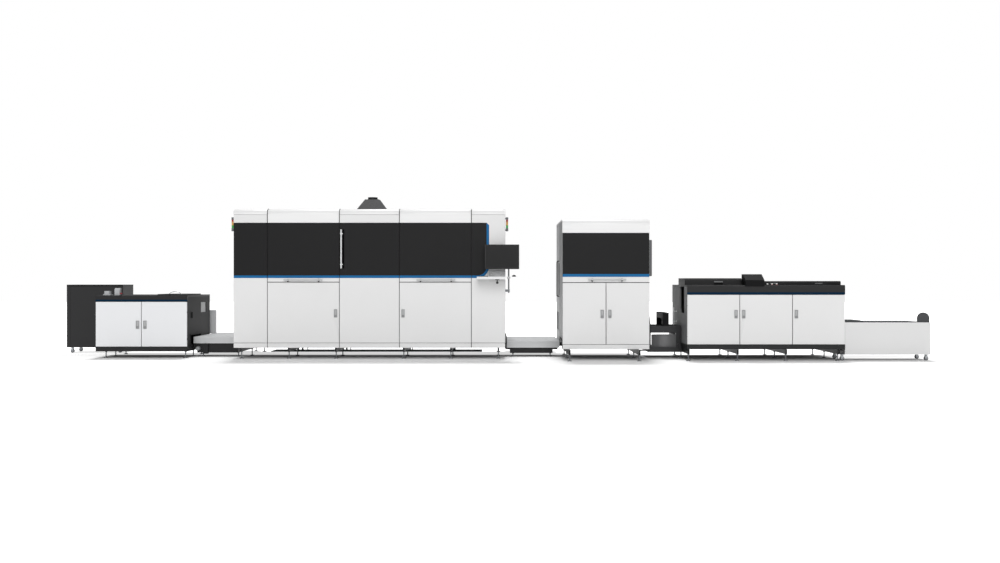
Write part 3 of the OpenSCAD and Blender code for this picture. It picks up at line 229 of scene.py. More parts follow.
half = floor_size / 2.0
floor_corners = [(-half, -half, 0), (half, -half, 0), (half, half, 0), (-half, half, 0)]
floor_mesh = bpy.data.meshes.new("floor")
floor_mesh.from_pydata(floor_corners, [], [(0, 1, 2, 3)])
floor = bpy.data.objects.new("floor", floor_mesh)
bpy.context.scene.collection.objects.link(floor)

floor_finish = Finish("studio_floor")
seen = floor_finish.seen_by("Is Camera Ray", "Is Glossy Ray")
floor_tone = floor_finish.between(seen, floor_bounced, floor_seen)
lit = floor_finish.node("ShaderNodeBsdfDiffuse", {}, {"Color": floor_tone})
# Painted light: from the middle of the line's depth backwards, the glow hides the floor's shadow.
behind = floor_finish.node("ShaderNodeMapRange", {"clamp": True}, {
    0: floor_finish.place("Y"), 1: backdrop_from, 2: backdrop_full, 3: 0.0, 4: 1.0})
glow = floor_finish.node("ShaderNodeEmission", {}, {
    "Color": white, "Strength": seen * behind * backdrop_glow})
lit_and_glow = floor_finish.node("ShaderNodeAddShader", {}, {0: lit, 1: glow})
floor_mesh.materials.append(floor_finish.output(lit_and_glow))


# ---- Studio light ----
# An even white sky, which the lens sees as pure white, and two broad lamps: one low in front of
# the line and a little to its right, and one overhead, a little behind it.

sky_strength = 0.37
lamps = {
    "front_lamp": {"energy": 1.40, "spread": 40.0, "turn": (66.0, 0.0, 3.0)},
    "top_lamp": {"energy": 2.0, "spread": 14.0, "turn": (-24.0, 0.0, 0.0)}}

world = bpy.data.worlds.new("studio")
bpy.context.scene.world = world
sky = Finish("studio", world)
sky_seen = sky.seen_by("Is Camera Ray", "Is Transmission Ray")
sky_light = sky.node("ShaderNodeBackground", {}, {"Color": white, "Strength": sky_strength})
sky_white = sky.node("ShaderNodeBackground", {}, {"Color": white, "Strength": 1.0})
sky_mix = sky.node("ShaderNodeMixShader", {}, {0: sky_seen, 1: sky_light, 2: sky_white})
sky.output(sky_mix, "ShaderNodeOutputWorld")

for name, kind in lamps.items():
    lamp_data = bpy.data.lights.new(name, "SUN")
    lamp_data.energy = kind["energy"]
    lamp_data.angle = math.radians(kind["spread"])
    lamp = bpy.data.objects.new(name, lamp_data)
    lamp.rotation_euler = tuple(math.radians(angle) for angle in kind["turn"])
    bpy.context.scene.collection.objects.link(lamp)


# ---- Cross beams and sills ----
# Welded box section under the print unit, the tower and the finishing unit, powder coated
# black-grey. The beams that reach out in front end in moulded black caps.

def dress(node, material):
    """Gives a CAD node its finish."""
    for slot in nodes[node].material_slots:
        slot.material = material


def paint(name, colour, rough=0.45, peel=0.00006, patch=0.08, shine=0.5):
    """Powder coat: orange peel 1.5 mm across and peel metres deep. Cloud noise darkens it by up to
    the patch and changes its roughness. The shine is the specular level."""
    finish = Finish(name)
    cloud = finish.noise(1.3, 2.0)
    return finish.surface(
        Base_Color=finish.darkened(colour, cloud * patch),
        Roughness=rough - 0.05 + cloud * 0.10, Specular_IOR_Level=shine,
        Normal=finish.texture(peel))


def skin(name, grids, body, material, smooth=True, merge=1e-6):
    """A piece from k grids of n by m points, shape (k, n, m, 3): point (i, j) joins its
    neighbours (i+1, j) and (i, j+1) in a four-sided face. Doubles are merged, normals turned out."""
    grids = np.asarray(grids, dtype=float)
    count, rows, columns = grids.shape[:3]
    corner = (np.arange(rows - 1)[:, None] * columns + np.arange(columns - 1)[None, :]).ravel()
    quad = np.stack([corner, corner + 1, corner + columns + 1, corner + columns], axis=1)
    faces = (quad[None, :, :] + (np.arange(count) * rows * columns)[:, None, None]).reshape(-1, 4)
    mesh = bpy.data.meshes.new(name)
    mesh.from_pydata(grids.reshape(-1, 3).tolist(), [], faces.tolist())
    shell = bmesh.new()
    shell.from_mesh(mesh)
    bmesh.ops.remove_doubles(shell, verts=shell.verts, dist=merge)
    bmesh.ops.dissolve_degenerate(shell, edges=shell.edges, dist=merge)
    bmesh.ops.recalc_face_normals(shell, faces=shell.faces)
    shell.to_mesh(mesh)
    shell.free()
    mesh.polygons.foreach_set("use_smooth", np.full(len(mesh.polygons), smooth))
    mesh.materials.append(material)
    piece = bpy.data.objects.new(name, mesh)
    bpy.context.scene.collection.objects.link(piece)
    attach(piece, body)
    return piece


def moulded(levels, corner_steps=3):
    """A stack of rounded rectangles, closed at both ends. Each level is (z, width, depth,
    corner radius); a corner is a quarter circle, its centre the radius in from both sides."""
    levels = np.asarray(levels, dtype=float)
    levels = np.concatenate([levels[:1] * [1, 0, 0, 0], levels, levels[-1:] * [1, 0, 0, 0]])
    turn = np.linspace(0.0, np.pi / 2, corner_steps + 1)
    angle = (turn[None, :] + np.arange(4)[:, None] * np.pi / 2).ravel()
    side_x = np.repeat([1, -1, -1, 1], corner_steps + 1)
    side_y = np.repeat([1, 1, -1, -1], corner_steps + 1)
    z, width, depth, radius = (levels[:, i][:, None] for i in range(4))
    ring = np.stack([
        side_x * (width / 2 - radius) + radius * np.cos(angle),
        side_y * (depth / 2 - radius) + radius * np.sin(angle),
        z + 0.0 * angle], axis=2)
    return np.concatenate([ring, ring[:, :1]], axis=1)


def facing_front(grid):
    """Turns a grid that was built upwards so that it is built towards the operator, -Y."""
    return np.stack([grid[..., 0], -grid[..., 2], grid[..., 1]], axis=-1)


def copies(grid, places):
    """The same grid moved to each place."""
    return grid[None] + np.asarray(places, dtype=float)[:, None, None, :]


latch_proud = 0.012
leaf_gap = 0.005


def front_of(door):
    """The Y of a door's front face, which its latch stands proud of."""
    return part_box(door)[0][1] + latch_proud


press_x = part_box("end_walls")[0][0]
press_y = front_of("press_door_left")
tower_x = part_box("tower_door_left")[0][0] - leaf_gap
tower_y = front_of("tower_door_left")
finish_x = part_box("finish_door_1")[0][0] - leaf_gap
finish_y = front_of("finish_door_1")
unwinder_x, unwinder_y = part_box("unwinder_base")[0][:2]
unwinder_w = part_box("unwinder_base")[1][0] - unwinder_x
unwinder_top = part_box("unwinder_lid")[0][2]
finish_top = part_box("finish_lids")[0][2]

dress("base_frames", paint("frame_paint", tone(30, 31, 32), shine=0.25))

cap_w = 0.022
cap_out = 0.005
cap_corner = 0.004
cap_taper = 0.005
tower_cap_h, tower_cap_z = 0.071, 0.1265
finish_cap_h, finish_cap_z = 0.064, 0.134
tower_beam_y = tower_y - 0.230
finish_beam_y = finish_y - 0.060
tower_beams = [tower_x + offset for offset in (0.095, 1.110)]
finish_beams = [finish_x + offset for offset in (0.015, 0.731, 1.437, 2.193)]


def beam_cap(tall):
    """A beam's end cap: a rounded rectangle that narrows over the last 2 mm of its thickness."""
    return facing_front(moulded([
        (0.0, cap_w, tall, cap_corner), (cap_out - 0.002, cap_w, tall, cap_corner),
        (cap_out, cap_w - cap_taper, tall - cap_taper, cap_corner)]))


caps = np.concatenate([
    copies(beam_cap(tower_cap_h), [(x, tower_beam_y, tower_cap_z) for x in tower_beams]),
    copies(beam_cap(finish_cap_h), [(x, finish_beam_y, finish_cap_z) for x in finish_beams])])
cap_paint = paint("beam_cap_plastic", tone(22, 22, 24), rough=0.6, peel=0.0001, shine=0.25)
skin("beam_end_caps", caps, "root", cap_paint, smooth=False)


# ---- Levelling feet ----
# Zinc-plated steel pads with spindles and locknuts, screwed into the beams and sills to level
# each unit. The spindles are threaded from the pad up to the nut.

def plated(name, colour, rough=0.34, metallic=0.85, drawn=(60.0, 60.0, 60.0)):
    """Plated or drawn metal: noise stretched along the small factors, in tone and gloss."""
    finish = Finish(name)
    grain = finish.noise(1.0, 4.0, finish.stretched(drawn))
    return finish.surface(
        Base_Color=finish.between(grain * 0.25, colour, (0.02, 0.02, 0.02, 1.0)),
        Metallic=metallic,
        Roughness=rough - 0.08 + grain * 0.16,
        Normal=finish.relief(grain, 0.00005))


def turned(profile, sides=20):
    """A closed profile of (radius, height) points turned round the upright axis."""
    profile = np.asarray(profile, dtype=float)
    angle = np.linspace(0.0, 2.0 * np.pi, sides + 1)
    radius, height = profile[:, 0][:, None], profile[:, 1][:, None]
    return np.stack([radius * np.cos(angle), radius * np.sin(angle), height + 0.0 * angle], axis=2)


zinc = plated("zinc_plate", tone(128, 131, 134))
dress("levelling_feet", zinc)

press_feet_x = (0.105, 0.820, 1.530, 2.550, 3.260, 3.975)
press_feet_y = (0.090, 0.790, 1.700)
tower_feet_y = (-0.180, 0.480, 1.200)
finish_feet_y = (-0.020, 0.640, 1.260)
unwinder_feet_x = (0.140, unwinder_w - 0.040)
unwinder_feet_y = (0.060, 0.480, 0.950)
foot_places = np.array(
    [(press_x + x, press_y + y, 0.0) for x in press_feet_x for y in press_feet_y]
    + [(x, tower_y + y, 0.0) for x in tower_beams for y in tower_feet_y]
    + [(x, finish_y + y, 0.0) for x in finish_beams for y in finish_feet_y]
    + [(unwinder_x + x, unwinder_y + y, 0.0) for x in unwinder_feet_x for y in unwinder_feet_y])

thread_pitch = 0.004
thread_core = 0.0081
thread_crest = 0.0094
thread_from = 0.014
thread_to = 0.072
crest_z = np.arange(thread_from, thread_to, thread_pitch)
ridge_z = np.stack([crest_z, crest_z + thread_pitch / 2], axis=1).ravel()
ridge_r = np.tile([thread_core, thread_crest], len(crest_z))
ridges = np.stack([ridge_r, ridge_z], axis=1)
thread = turned(np.concatenate([[(0.0, ridge_z[0])], ridges, [(0.0, ridge_z[-1])]]), 12)
skin("foot_threads", copies(thread, foot_places), "root", zinc)


# ---- Casters ----
# Pressed steel forks with hard rubber tyres, under the cabinet and the belt unit.
# Each wheel has a grey hub, and its axle ends in a hexagon bolt.

dress("caster_forks", plated("fork_plate", tone(170, 173, 176), rough=0.38, metallic=0.7))

tyre = Finish("tyre_rubber")
dress("caster_wheels", tyre.surface(
    Base_Color=tyre.between(tyre.noise(30.0) * 0.5, tone(38, 38, 40), tone(52, 52, 54)),
    Roughness=0.72, Normal=tyre.texture(0.0002, 900.0, 2.0)))

dock_rail_l = 0.060
belt_low, belt_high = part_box("belt_housing")
belt_x = belt_low[0] + dock_rail_l
belt_y = belt_low[1]
belt_w = belt_high[0] - belt_x
belt_d = belt_high[1] - belt_y
cabinet_x, cabinet_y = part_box("extraction_cabinet")[0][:2]
cabinet_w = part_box("extraction_cabinet")[1][0] - cabinet_x
cabinet_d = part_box("extraction_cabinet")[1][1] - cabinet_y
cabinet_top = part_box("extraction_cabinet")[1][2]

wheel_r = 0.031
caster_in = 0.070
hub_out = 0.0111
bolt_out = 0.018
cabinet_casters_x = (caster_in, cabinet_w - caster_in)
cabinet_casters_y = (caster_in, cabinet_d - caster_in)
belt_casters_x = (-0.023, belt_w - 0.040)
belt_casters_y = (caster_in, belt_d - caster_in)
caster_places = np.array(
    [(cabinet_x + x, cabinet_y + y, wheel_r) for x in cabinet_casters_x for y in cabinet_casters_y]
    + [(belt_x + x, belt_y + y, wheel_r) for x in belt_casters_x for y in belt_casters_y])


def both_sides(shape, out):
    """The shape on the front and the back of every caster, this far out from its middle."""
    front = copies(facing_front(shape), caster_places - [0.0, out, 0.0])
    back = copies(facing_front(shape) * [1, -1, 1], caster_places + [0.0, out, 0.0])
    return np.concatenate([front, back])


hub = turned([(0.0, 0.0), (0.008, 0.0), (0.0085, 0.0012), (0.020, 0.0012), (0.022, 0.0002),
              (0.022, -0.001), (0.0, -0.001)])
hub_paint = paint("hub_grey", tone(150, 152, 155), rough=0.4)
skin("caster_hubs", both_sides(hub, hub_out), "root", hub_paint)
bolt = turned([(0.0, 0.0), (0.007, 0.0), (0.007, 0.004), (0.006, 0.005), (0.0, 0.005)], 6)
skin("caster_bolts", both_sides(bolt, bolt_out), "root", zinc, smooth=False)


# ---- Skirts and fixed panels ----
# Folded sheet, powder coated white. The skirts are held by countersunk screws at their ends,
# and the panels over the doors by screws in their lower corners.


def softened(node, material, width=0.0015, crease=35.0, narrow=0.015, merge=1e-5, flat=0.2):
    """A CAD node's shape with its edges rounded: doubles merged, triangles within the flat angle
    joined, then every edge that turns more than the crease, in degrees, bevelled to the width in
    two steps. Only the bevels and the narrow facets of curves, by area over outline, are shaded
    smooth."""
    turn = math.radians(crease)
    shell = bmesh.new()
    shell.from_mesh(nodes[node].data)
    bmesh.ops.remove_doubles(shell, verts=shell.verts, dist=merge)
    bmesh.ops.dissolve_limit(
        shell, angle_limit=math.radians(flat), verts=shell.verts, edges=shell.edges)
    sharp = [edge for edge in shell.edges if edge.is_manifold and edge.calc_face_angle() > turn]
    bmesh.ops.bevel(
        shell, geom=sharp, offset=width, segments=2, profile=0.5, affect="EDGES", clamp_overlap=True)
    for face in shell.faces:
        face.smooth = face.calc_area() < narrow * face.calc_perimeter()
    for edge in shell.edges:
        edge.smooth = edge.calc_face_angle(0.0) < turn
    mesh = bpy.data.meshes.new(node + "_softened")
    shell.to_mesh(mesh)
    shell.free()
    mesh.attributes.remove(mesh.attributes["custom_normal"])
    mesh.materials.clear()
    mesh.materials.append(material)
    piece = bpy.data.objects.new(node + "_softened", mesh)
    bpy.context.scene.collection.objects.link(piece)
    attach(piece, body_of(nodes[node])[0])
    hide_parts(node)
    return piece


panel_white = tone(225, 225, 225)
white_paint = paint("white_powder_coat", panel_white, rough=0.38, peel=0.00005, patch=0.04)
for name in ("skirts", "lower_panels"):
    softened(name, white_paint)

press_seams = [press_x + offset for offset in (0.0, 0.510, 1.590, 2.490, 3.570, 4.080)]
press_bays = list(zip(press_seams[:-1], press_seams[1:]))
tower_w = 1.285
tower_mid = tower_w / 2
edge_in = 0.030
press_screw_z = (0.200, 1.164)
tower_screw_z = (0.198, 1.160)
screw_head = facing_front(turned([
    (0.0, -0.0012), (0.0022, -0.0012), (0.0026, 0.0004), (0.0042, 0.0008), (0.0058, 0.0003),
    (0.0062, -0.0004), (0.0, -0.0004)], 12))
screw_places = [
    (x, press_y, z) for left, right in press_bays
    for x in (left + edge_in, right - edge_in) for z in press_screw_z]
screw_places += [
    (tower_x + x, tower_y, z) for x in (edge_in, tower_mid, tower_w - edge_in) for z in tower_screw_z]
skin("panel_screws", copies(screw_head, screw_places), "root", white_paint)


# ---- Doors of the print unit and the tower ----
# Folded pans on pin hinges, white inside and out. The latches are grey castings with a
# sunken paddle, each with a key barrel in its lower end.

well_depth = 0.0030
latch_middle_in = 0.051
barrel_low = 0.040
barrel_in = 0.0104


def door_paint(name, door, colour):
    """White paint, with the latch told apart by its depth: it stands proud of the door's face. The
    latch is grey, and its sunken well is painted a darker grey, as painted shade.
    """
    finish = Finish(name)
    depth = finish.place("Y")
    latch = depth < front_of(door) - 0.0003
    # Painted shade: the latch's sunken well is darker than the rest of the latch.
    well = (depth > front_of(door) - well_depth) * latch
    cloud = finish.noise(1.3, 2.0)
    grey = finish.between(well, tone(170, 171, 172), tone(138, 139, 140))
    return finish.surface(
        Base_Color=finish.between(latch, finish.darkened(colour, cloud * 0.04), grey),
        Roughness=0.33 + cloud * 0.08 + latch * 0.08,
        Normal=finish.texture(0.00005))


def key_barrel(door):
    """A nickel key barrel in the lower end of a door's latch: a round boss with a sunken keyway."""
    low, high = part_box(door)
    x = high[0] - latch_middle_in if hinges_left[door] else low[0] + latch_middle_in
    barrel = turned([
        (0.0, 0.0050), (0.0012, 0.0050), (0.0016, 0.0066), (0.0060, 0.0068), (0.0070, 0.0060),
        (0.0075, 0.0), (0.0, 0.0)], 16)
    place = (x, low[1] + barrel_in, latch_height[door] - barrel_low)
    skin(door + "_key_barrel", copies(facing_front(barrel), [place]), door, nickel)


nickel = plated("nickel", tone(170, 171, 172), metallic=0.3)
hinges_left = {
    "press_door_left": True, "press_door_right": False,
    "tower_door_left": True, "tower_door_right": False}
latch_height = dict.fromkeys(hinges_left, 0.682)
for door in hinges_left:
    softened(door, door_paint(door + "_paint", door, panel_white))
    key_barrel(door)
dress("hinge_arms", plated("hinge_steel", tone(165, 168, 171), rough=0.36, metallic=0.8))

seal_h = 0.0095
seal_proud = 0.002
seal_past = 0.003
seal_gap = 0.001
seal_corner = 0.001
seal_rubber = paint("seal_rubber", tone(52, 52, 54), rough=0.6, peel=0.0001, shine=0.25)
seal_runs = [
    (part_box("press_door_left"), press_y), (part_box("press_door_right"), press_y),
    ((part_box("tower_door_left")[0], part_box("tower_door_right")[1]), tower_y)]
for number, ((low, high), face_y) in enumerate(seal_runs):
    length = high[0] - low[0] + 2 * seal_past
    seal = facing_front(moulded([
        (0.0, length, seal_h, seal_corner), (seal_proud * 0.7, length, seal_h, seal_corner),
        (seal_proud, length, seal_h * 0.6, seal_corner)], 1))
    place = ((low[0] + high[0]) / 2, face_y, high[2] + seal_gap + seal_h / 2)
    seal = copies(seal, [place])
    skin(f"door_seal_{number + 1}", seal, "root", seal_rubber, smooth=False)


# ---- Frames inside ----
# Bulkheads between the bays and decks under them, of primed grey sheet steel, welded and bolted
# to the frame. They are seen only through an open door.

dress("bulkheads", paint("primer_grey", tone(96, 99, 103), rough=0.55, peel=0.0001))
dress("decks", paint("deck_grey", tone(104, 107, 111), rough=0.55, peel=0.0001))


# ---- Stripe ----
# A flat strip along both units under the covers, painted gloss blue. On the print unit it
# turns up round the black cover.

stripe = Finish("stripe_blue")
stripe_cloud = stripe.noise(2.0, 2.0)
dress("blue_stripes", stripe.surface(
    Base_Color=stripe.between(stripe_cloud * 0.25, tone(14, 98, 152), tone(24, 106, 160)),
    Roughness=0.36 + stripe_cloud * 0.06, Specular_IOR_Level=0.15,
    Normal=stripe.texture(0.00003, 420.0)))


# ---- Upper covers and seam plates ----
# Black covers over the print heads and the dryer, in fine-textured satin paint, and the thin
# plates that stand proud in the seams between them.

satin_black = paint("satin_black", tone(24, 24, 25), rough=0.42, peel=0.00005, patch=0.12, shine=0.15)
softened("upper_covers", satin_black)
dress("press_seam_fins", paint("seam_black", tone(20, 20, 21), rough=0.5, shine=0.25))


# ---- Headers and roof ----
# Rolled white shells along the top front edge, and the flat roof plates behind them. Sealed
# joint strips run from front to back over the joints of the roof.

header_white = paint("header_white", tone(234, 234, 234), rough=0.40, peel=0.00005, patch=0.04)
softened("headers", header_white)
roof_paint = paint("roof_white", tone(222, 222, 222))
dress("roofs", roof_paint)

press_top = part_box("roofs")[1][2]
tower_roof_t = 0.025
tower_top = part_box("tower_left_wall")[1][2] + tower_roof_t
roof_from = 0.420
press_roof_to = 1.790
tower_roof_to = 1.690
strip_w = 0.040
strip_h = 0.003


def joint_strips(xs, y0, y1, z):
    """Low strips along Y, one at each X, with rounded ends."""
    length = y1 - y0
    strip = moulded([
        (0.0, strip_w, length, 0.004), (strip_h - 0.001, strip_w, length, 0.004),
        (strip_h, strip_w - 0.004, length - 0.004, 0.003)], 2)
    return copies(strip, [(x, (y0 + y1) / 2, z) for x in xs])


roof_strips = np.concatenate([
    joint_strips(press_seams[1:-1], press_y + roof_from, press_y + press_roof_to, press_top),
    joint_strips([tower_x + tower_mid], tower_y + roof_from, tower_y + tower_roof_to, tower_top)])
skin("roof_joint_strips", roof_strips, "root", roof_paint, smooth=False)


# ---- Rear panels and end walls ----
# The same white sheet as the front, with pressed louvres low on each rear panel and rows of
# quarter-turn fasteners along its top and bottom edges.

side_paint = paint("side_white", tone(216, 216, 216), rough=0.42)
for name in ("rear_panels", "end_walls"):
    softened(name, side_paint)

louvre_pitch = 0.032
louvre_h = 0.020
louvre_out = 0.009
louvre_back = 0.0004


def louvres(middles, span, width, steps=7):
    """Pressed louvres facing +Y, at each (x, y) middle, a pitch apart over the span of heights. A
    louvre swells by a quarter sine from the sheet to its lip, then drops back; across the width
    it is flat with rounded ends."""
    u = np.linspace(-1.0, 1.0, 9)
    v = np.linspace(0.0, 1.0, steps)
    swell = np.sin(v * np.pi / 2)[:, None] * (1.0 - np.abs(u[None, :]) ** 6)
    grid = np.stack([
        np.broadcast_to(u[None, :] * width / 2, swell.shape),
        louvre_out * swell + louvre_back,
        np.broadcast_to((1.0 - v[:, None]) * louvre_h, swell.shape)], axis=2)
    lip = grid[-1:] * [1, 0, 1] + [0, louvre_back, 0]
    top = grid[:1] * [1, 0, 1] + [0, louvre_back, 0]
    shape = np.concatenate([top, grid, lip, top])
    rows = np.arange(*span, louvre_pitch)
    return copies(shape, [(x, y, z) for x, y in middles for z in rows])


press_rear_y = press_y + 1.800
tower_rear_y = tower_y + 1.700
tower_panels = (0.321, 0.964)
low_vents = (0.30, 0.56)
dryer_vents = (1.80, 1.98)
louvre_w = 0.300
press_middles = [((left + right) / 2, press_rear_y) for left, right in press_bays]
tower_middles = [(tower_x + x, tower_rear_y) for x in tower_panels]
rear_louvres = np.concatenate([
    louvres(press_middles + tower_middles, low_vents, louvre_w),
    louvres(tower_middles, dryer_vents, louvre_w)])
skin("rear_louvres", rear_louvres, "root", side_paint)

fastener_in = 0.06
press_fastener_z = (0.260, 1.10, 1.20, 2.18)
tower_fastener_z = (0.260, 1.10, 1.20, 2.02)
fastener = turned([
    (0.0, 0.001), (0.003, 0.001), (0.004, 0.003), (0.009, 0.003), (0.011, 0.002), (0.012, 0.0),
    (0.0, 0.0)], 14)
fastener = np.stack([fastener[..., 0], fastener[..., 2], fastener[..., 1]], axis=-1)
fastener_places = [
    (x, press_rear_y, z) for left, right in press_bays
    for x in (left + fastener_in, (left + right) / 2, right - fastener_in) for z in press_fastener_z]
fastener_places += [
    (left + x, tower_rear_y, z) for left in (tower_x, tower_x + tower_mid)
    for x in (fastener_in, tower_panels[0], tower_mid - fastener_in) for z in tower_fastener_z]
skin("rear_fasteners", copies(fastener, fastener_places), "root", nickel)


# ---- Exhaust hood ----
# A galvanised pyramid on a bolted flange, with a black collar for the round duct. A worm-drive
# band lies round the collar's foot.

hood_low, hood_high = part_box("exhaust_hood")
hood_x = (hood_low[0] + hood_high[0]) / 2
hood_y = (hood_low[1] + hood_high[1]) / 2
collar_foot = hood_high[2] - 0.037
collar_r = 0.075

hood = Finish("galvanised_hood")
spangle = hood.node("ShaderNodeTexVoronoi", {}, {"Vector": hood.place(), "Scale": 70.0}, "Distance")
collar_mask = hood.place("Z") > collar_foot
zinc_tone = hood.between(spangle * 0.6, tone(94, 94, 95), tone(74, 74, 75))
dress("exhaust_hood", hood.surface(
    Base_Color=hood.between(collar_mask, zinc_tone, tone(8, 8, 9)),
    Specular_IOR_Level=0.1, Roughness=0.46 + spangle * 0.15,
    Normal=hood.relief(spangle, 0.0001)))

bolt_row = (hood_high[0] - hood_low[0]) / 2 - 0.006
flange_top = hood_low[2] + 0.004
along = np.linspace(-bolt_row, bolt_row, 7)
bolt_offsets = [(x, y) for x in along for y in (-bolt_row, bolt_row)]
bolt_offsets += [(x, y) for y in along[1:-1] for x in (-bolt_row, bolt_row)]
bolt_places = [(hood_x + x, hood_y + y, flange_top) for x, y in bolt_offsets]
skin("hood_bolts", copies(bolt, bolt_places), "root", zinc, smooth=False)

band_profile = [
    (0.0, 0.006), (0.0015, 0.006), (0.0022, 0.008), (0.0022, 0.016), (0.0015, 0.018), (0.0, 0.018),
    (0.0, 0.006)]
band = turned([(collar_r + out, up) for out, up in band_profile], 48)
band_steel = plated("band_steel", tone(42, 42, 43), rough=0.4, metallic=0.3)
skin("collar_band", copies(band, [(hood_x, hood_y, collar_foot)]), "root", band_steel)


# ---- Drip tray ----
# A long shallow tray of folded galvanised sheet under the print unit, hung on flat straps from
# the inner cross beams.

dress("drip_tray", plated("tray_zinc", tone(84, 86, 89), rough=0.45, metallic=0.6))


# ---- Pull bars ----
# Polished stainless tube in blackened cast eyes, under the stripe, beside the middle cover and
# on the finishing unit's end wall.

middle_bar_from_z = 1.300
end_bar_from_x = finish_x - 0.200
bars = Finish("polished_bar")
bar_grain = bars.noise(220.0, 1.0)
# Painted light and shade on one polished tube: the bar beside the middle cover and the bar on the finishing
# unit's end wall are painted light, and the bars under the stripe a darker grey.
upright_bar = (bars.place("Z") > middle_bar_from_z) + (bars.place("X") > end_bar_from_x)
dress("pull_bars", bars.surface(
    Base_Color=bars.between(upright_bar, tone(192, 193, 194), tone(234, 235, 236)),
    Roughness=0.46 + bar_grain * 0.04, Normal=bars.relief(bar_grain, 0.00001)))

press_bar_z = 1.182
tower_bar_z = 1.188
press_bar_reach = 0.230
tower_bar_reach = 0.220
bracket_out = 0.017
bracket = moulded([
    (-0.032, 0.012, 0.020, 0.003), (-0.016, 0.012, 0.024, 0.003), (-0.012, 0.034, 0.030, 0.004),
    (-0.009, 0.034, 0.030, 0.004)])
bar_middles = [(press_x + x, press_y, press_bar_z, press_bar_reach) for x in (1.050, 3.040)]
bar_middles += [(tower_x + 0.6565, tower_y, tower_bar_z, tower_bar_reach)]
bracket_places = [
    (x + side * reach, y - bracket_out, z) for x, y, z, reach in bar_middles for side in (-1, 1)]
bracket_paint = paint("bracket_black", tone(46, 46, 48), rough=0.5, shine=0.25)
skin("bar_brackets", copies(bracket, bracket_places), "root", bracket_paint)


# ---- Signal bars ----
# Moulded grey bars screwed to the end walls, with green, amber and red ribbed lenses that are
# faintly lit.

lens_from = 0.0455
amber_from = 0.090
red_from = 0.143
lens_to = 0.1725
rib_turns = 900.0
signal = Finish("signal_lenses")
height = signal.place("Z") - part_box("signal_lamps")[0][2]
lens_colour = signal.between(height > amber_from, tone(52, 152, 66), tone(196, 146, 74))
lens_colour = signal.between(height > red_from, lens_colour, tone(150, 26, 24))
is_lens = (height > lens_from) * (height < lens_to)
rings = ((height - lens_from) * rib_turns).wave()
dress("signal_lamps", signal.surface(
    Base_Color=signal.between(is_lens, tone(96, 98, 101), lens_colour),
    Roughness=0.42 - is_lens * 0.20, Coat_Weight=is_lens * 0.5,
    Emission_Color=signal.between(is_lens, black, lens_colour), Emission_Strength=0.06,
    Normal=signal.relief(rings * is_lens, 0.0004)))


# ---- Side covers ----
# Shallow moulded covers on the outer walls, light grey on the print unit, dark grey and deeper
# on the tower, and the two bright studs beside the tower's window.

dark_cover_from_x = tower_x + 0.100
covers = Finish("side_cover_grey")
dark_cover = covers.place("X") > dark_cover_from_x
cover_tone = covers.between(dark_cover, tone(206, 207, 208), tone(92, 93, 95))
cover_paint = covers.surface(
    Base_Color=covers.darkened(cover_tone, covers.noise(2.0) * 0.06),
    Roughness=0.45, Normal=covers.texture(0.0001, 500.0))
softened("side_covers", cover_paint)

cover_w = 0.652
cover_h = 0.544
cover_out = 0.069
cover_y = tower_y + 0.575
cover_z = 1.512
cover_shell = moulded([
    (0.0, cover_w, cover_h, 0.020), (cover_out - 0.009, cover_w, cover_h, 0.020),
    (cover_out - 0.003, cover_w - 0.006, cover_h - 0.006, 0.018),
    (cover_out, cover_w - 0.018, cover_h - 0.018, 0.012)])
cover_shell = np.stack([cover_shell[..., 2], cover_shell[..., 0], cover_shell[..., 1]], axis=-1)
cover_shell = copies(cover_shell, [(tower_x + tower_w, cover_y, cover_z)])
skin("tower_cover_shell", cover_shell, "root", cover_paint, smooth=False)


# ---- Console ----
# A steel pole on a wall arm carries a folded white tray with a keyboard, a thin plate for the
# mouse, and a black screen on a hub that turns.

upright_grain = (700.0, 700.0, 18.0)
dress("console_pole", plated("pole_steel", tone(120, 122, 125), rough=0.30, drawn=upright_grain))

shelf_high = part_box("keyboard_shelf")[1]
back_plate_h = 0.089
shelf_z = shelf_high[2] - back_plate_h
knob_top = shelf_z - 0.0385
disc_back = shelf_high[1] - 0.011
shelf = Finish("shelf_paint")
shelf_cloud = shelf.noise(4.0, 2.0)
back_plate = shelf.place("Z") > shelf_z + 0.0005
knob = shelf.place("Z") < knob_top
half_disc = back_plate * (shelf.place("Y") < disc_back)
mouse_plate = shelf.place("X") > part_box("console_pole")[1][0]
# Painted light: the back plate, and the mouse plate with it, are a lighter white than the tray, which lifts
# the screen's shadow on the back plate. The half disc on it is grey.
plate_tone = shelf.between(half_disc, tone(240, 241, 242), tone(178, 179, 180))
shelf_tone = shelf.between(back_plate + mouse_plate, panel_white, plate_tone)
dress("keyboard_shelf", shelf.surface(
    Base_Color=shelf.between(knob, shelf_tone, tone(16, 16, 17)),
    Roughness=0.36 + shelf_cloud * 0.08, Normal=shelf.texture(0.00005)))

plastic = Finish("key_plastic")
dress("keyboard_and_mouse", plastic.surface(
    Base_Color=plastic.between(plastic.noise(20.0) * 0.2, tone(34, 34, 36), tone(42, 43, 45)),
    Roughness=0.5, Specular_IOR_Level=0.3, Normal=plastic.texture(0.00008, 1400.0)))

keys_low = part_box("keyboard_and_mouse")[0]
key_pitch = 0.0190
key_in = 0.014
key_columns = 7
key_rows = 6
key_z = shelf_z + 0.0088
key_cap = moulded([
    (0.0, 0.0170, 0.0170, 0.0020), (0.0035, 0.0150, 0.0150, 0.0020),
    (0.0045, 0.0130, 0.0130, 0.0020)], 2)
key_x = keys_low[0] + key_in + np.arange(key_columns) * key_pitch
key_y = keys_low[1] + key_in + np.arange(key_rows) * key_pitch
key_grid = np.stack(np.meshgrid(key_x, key_y, [key_z], indexing="ij"), axis=-1).reshape(-1, 3)
skin("key_caps", copies(key_cap, key_grid), "root", plastic.material, smooth=False)

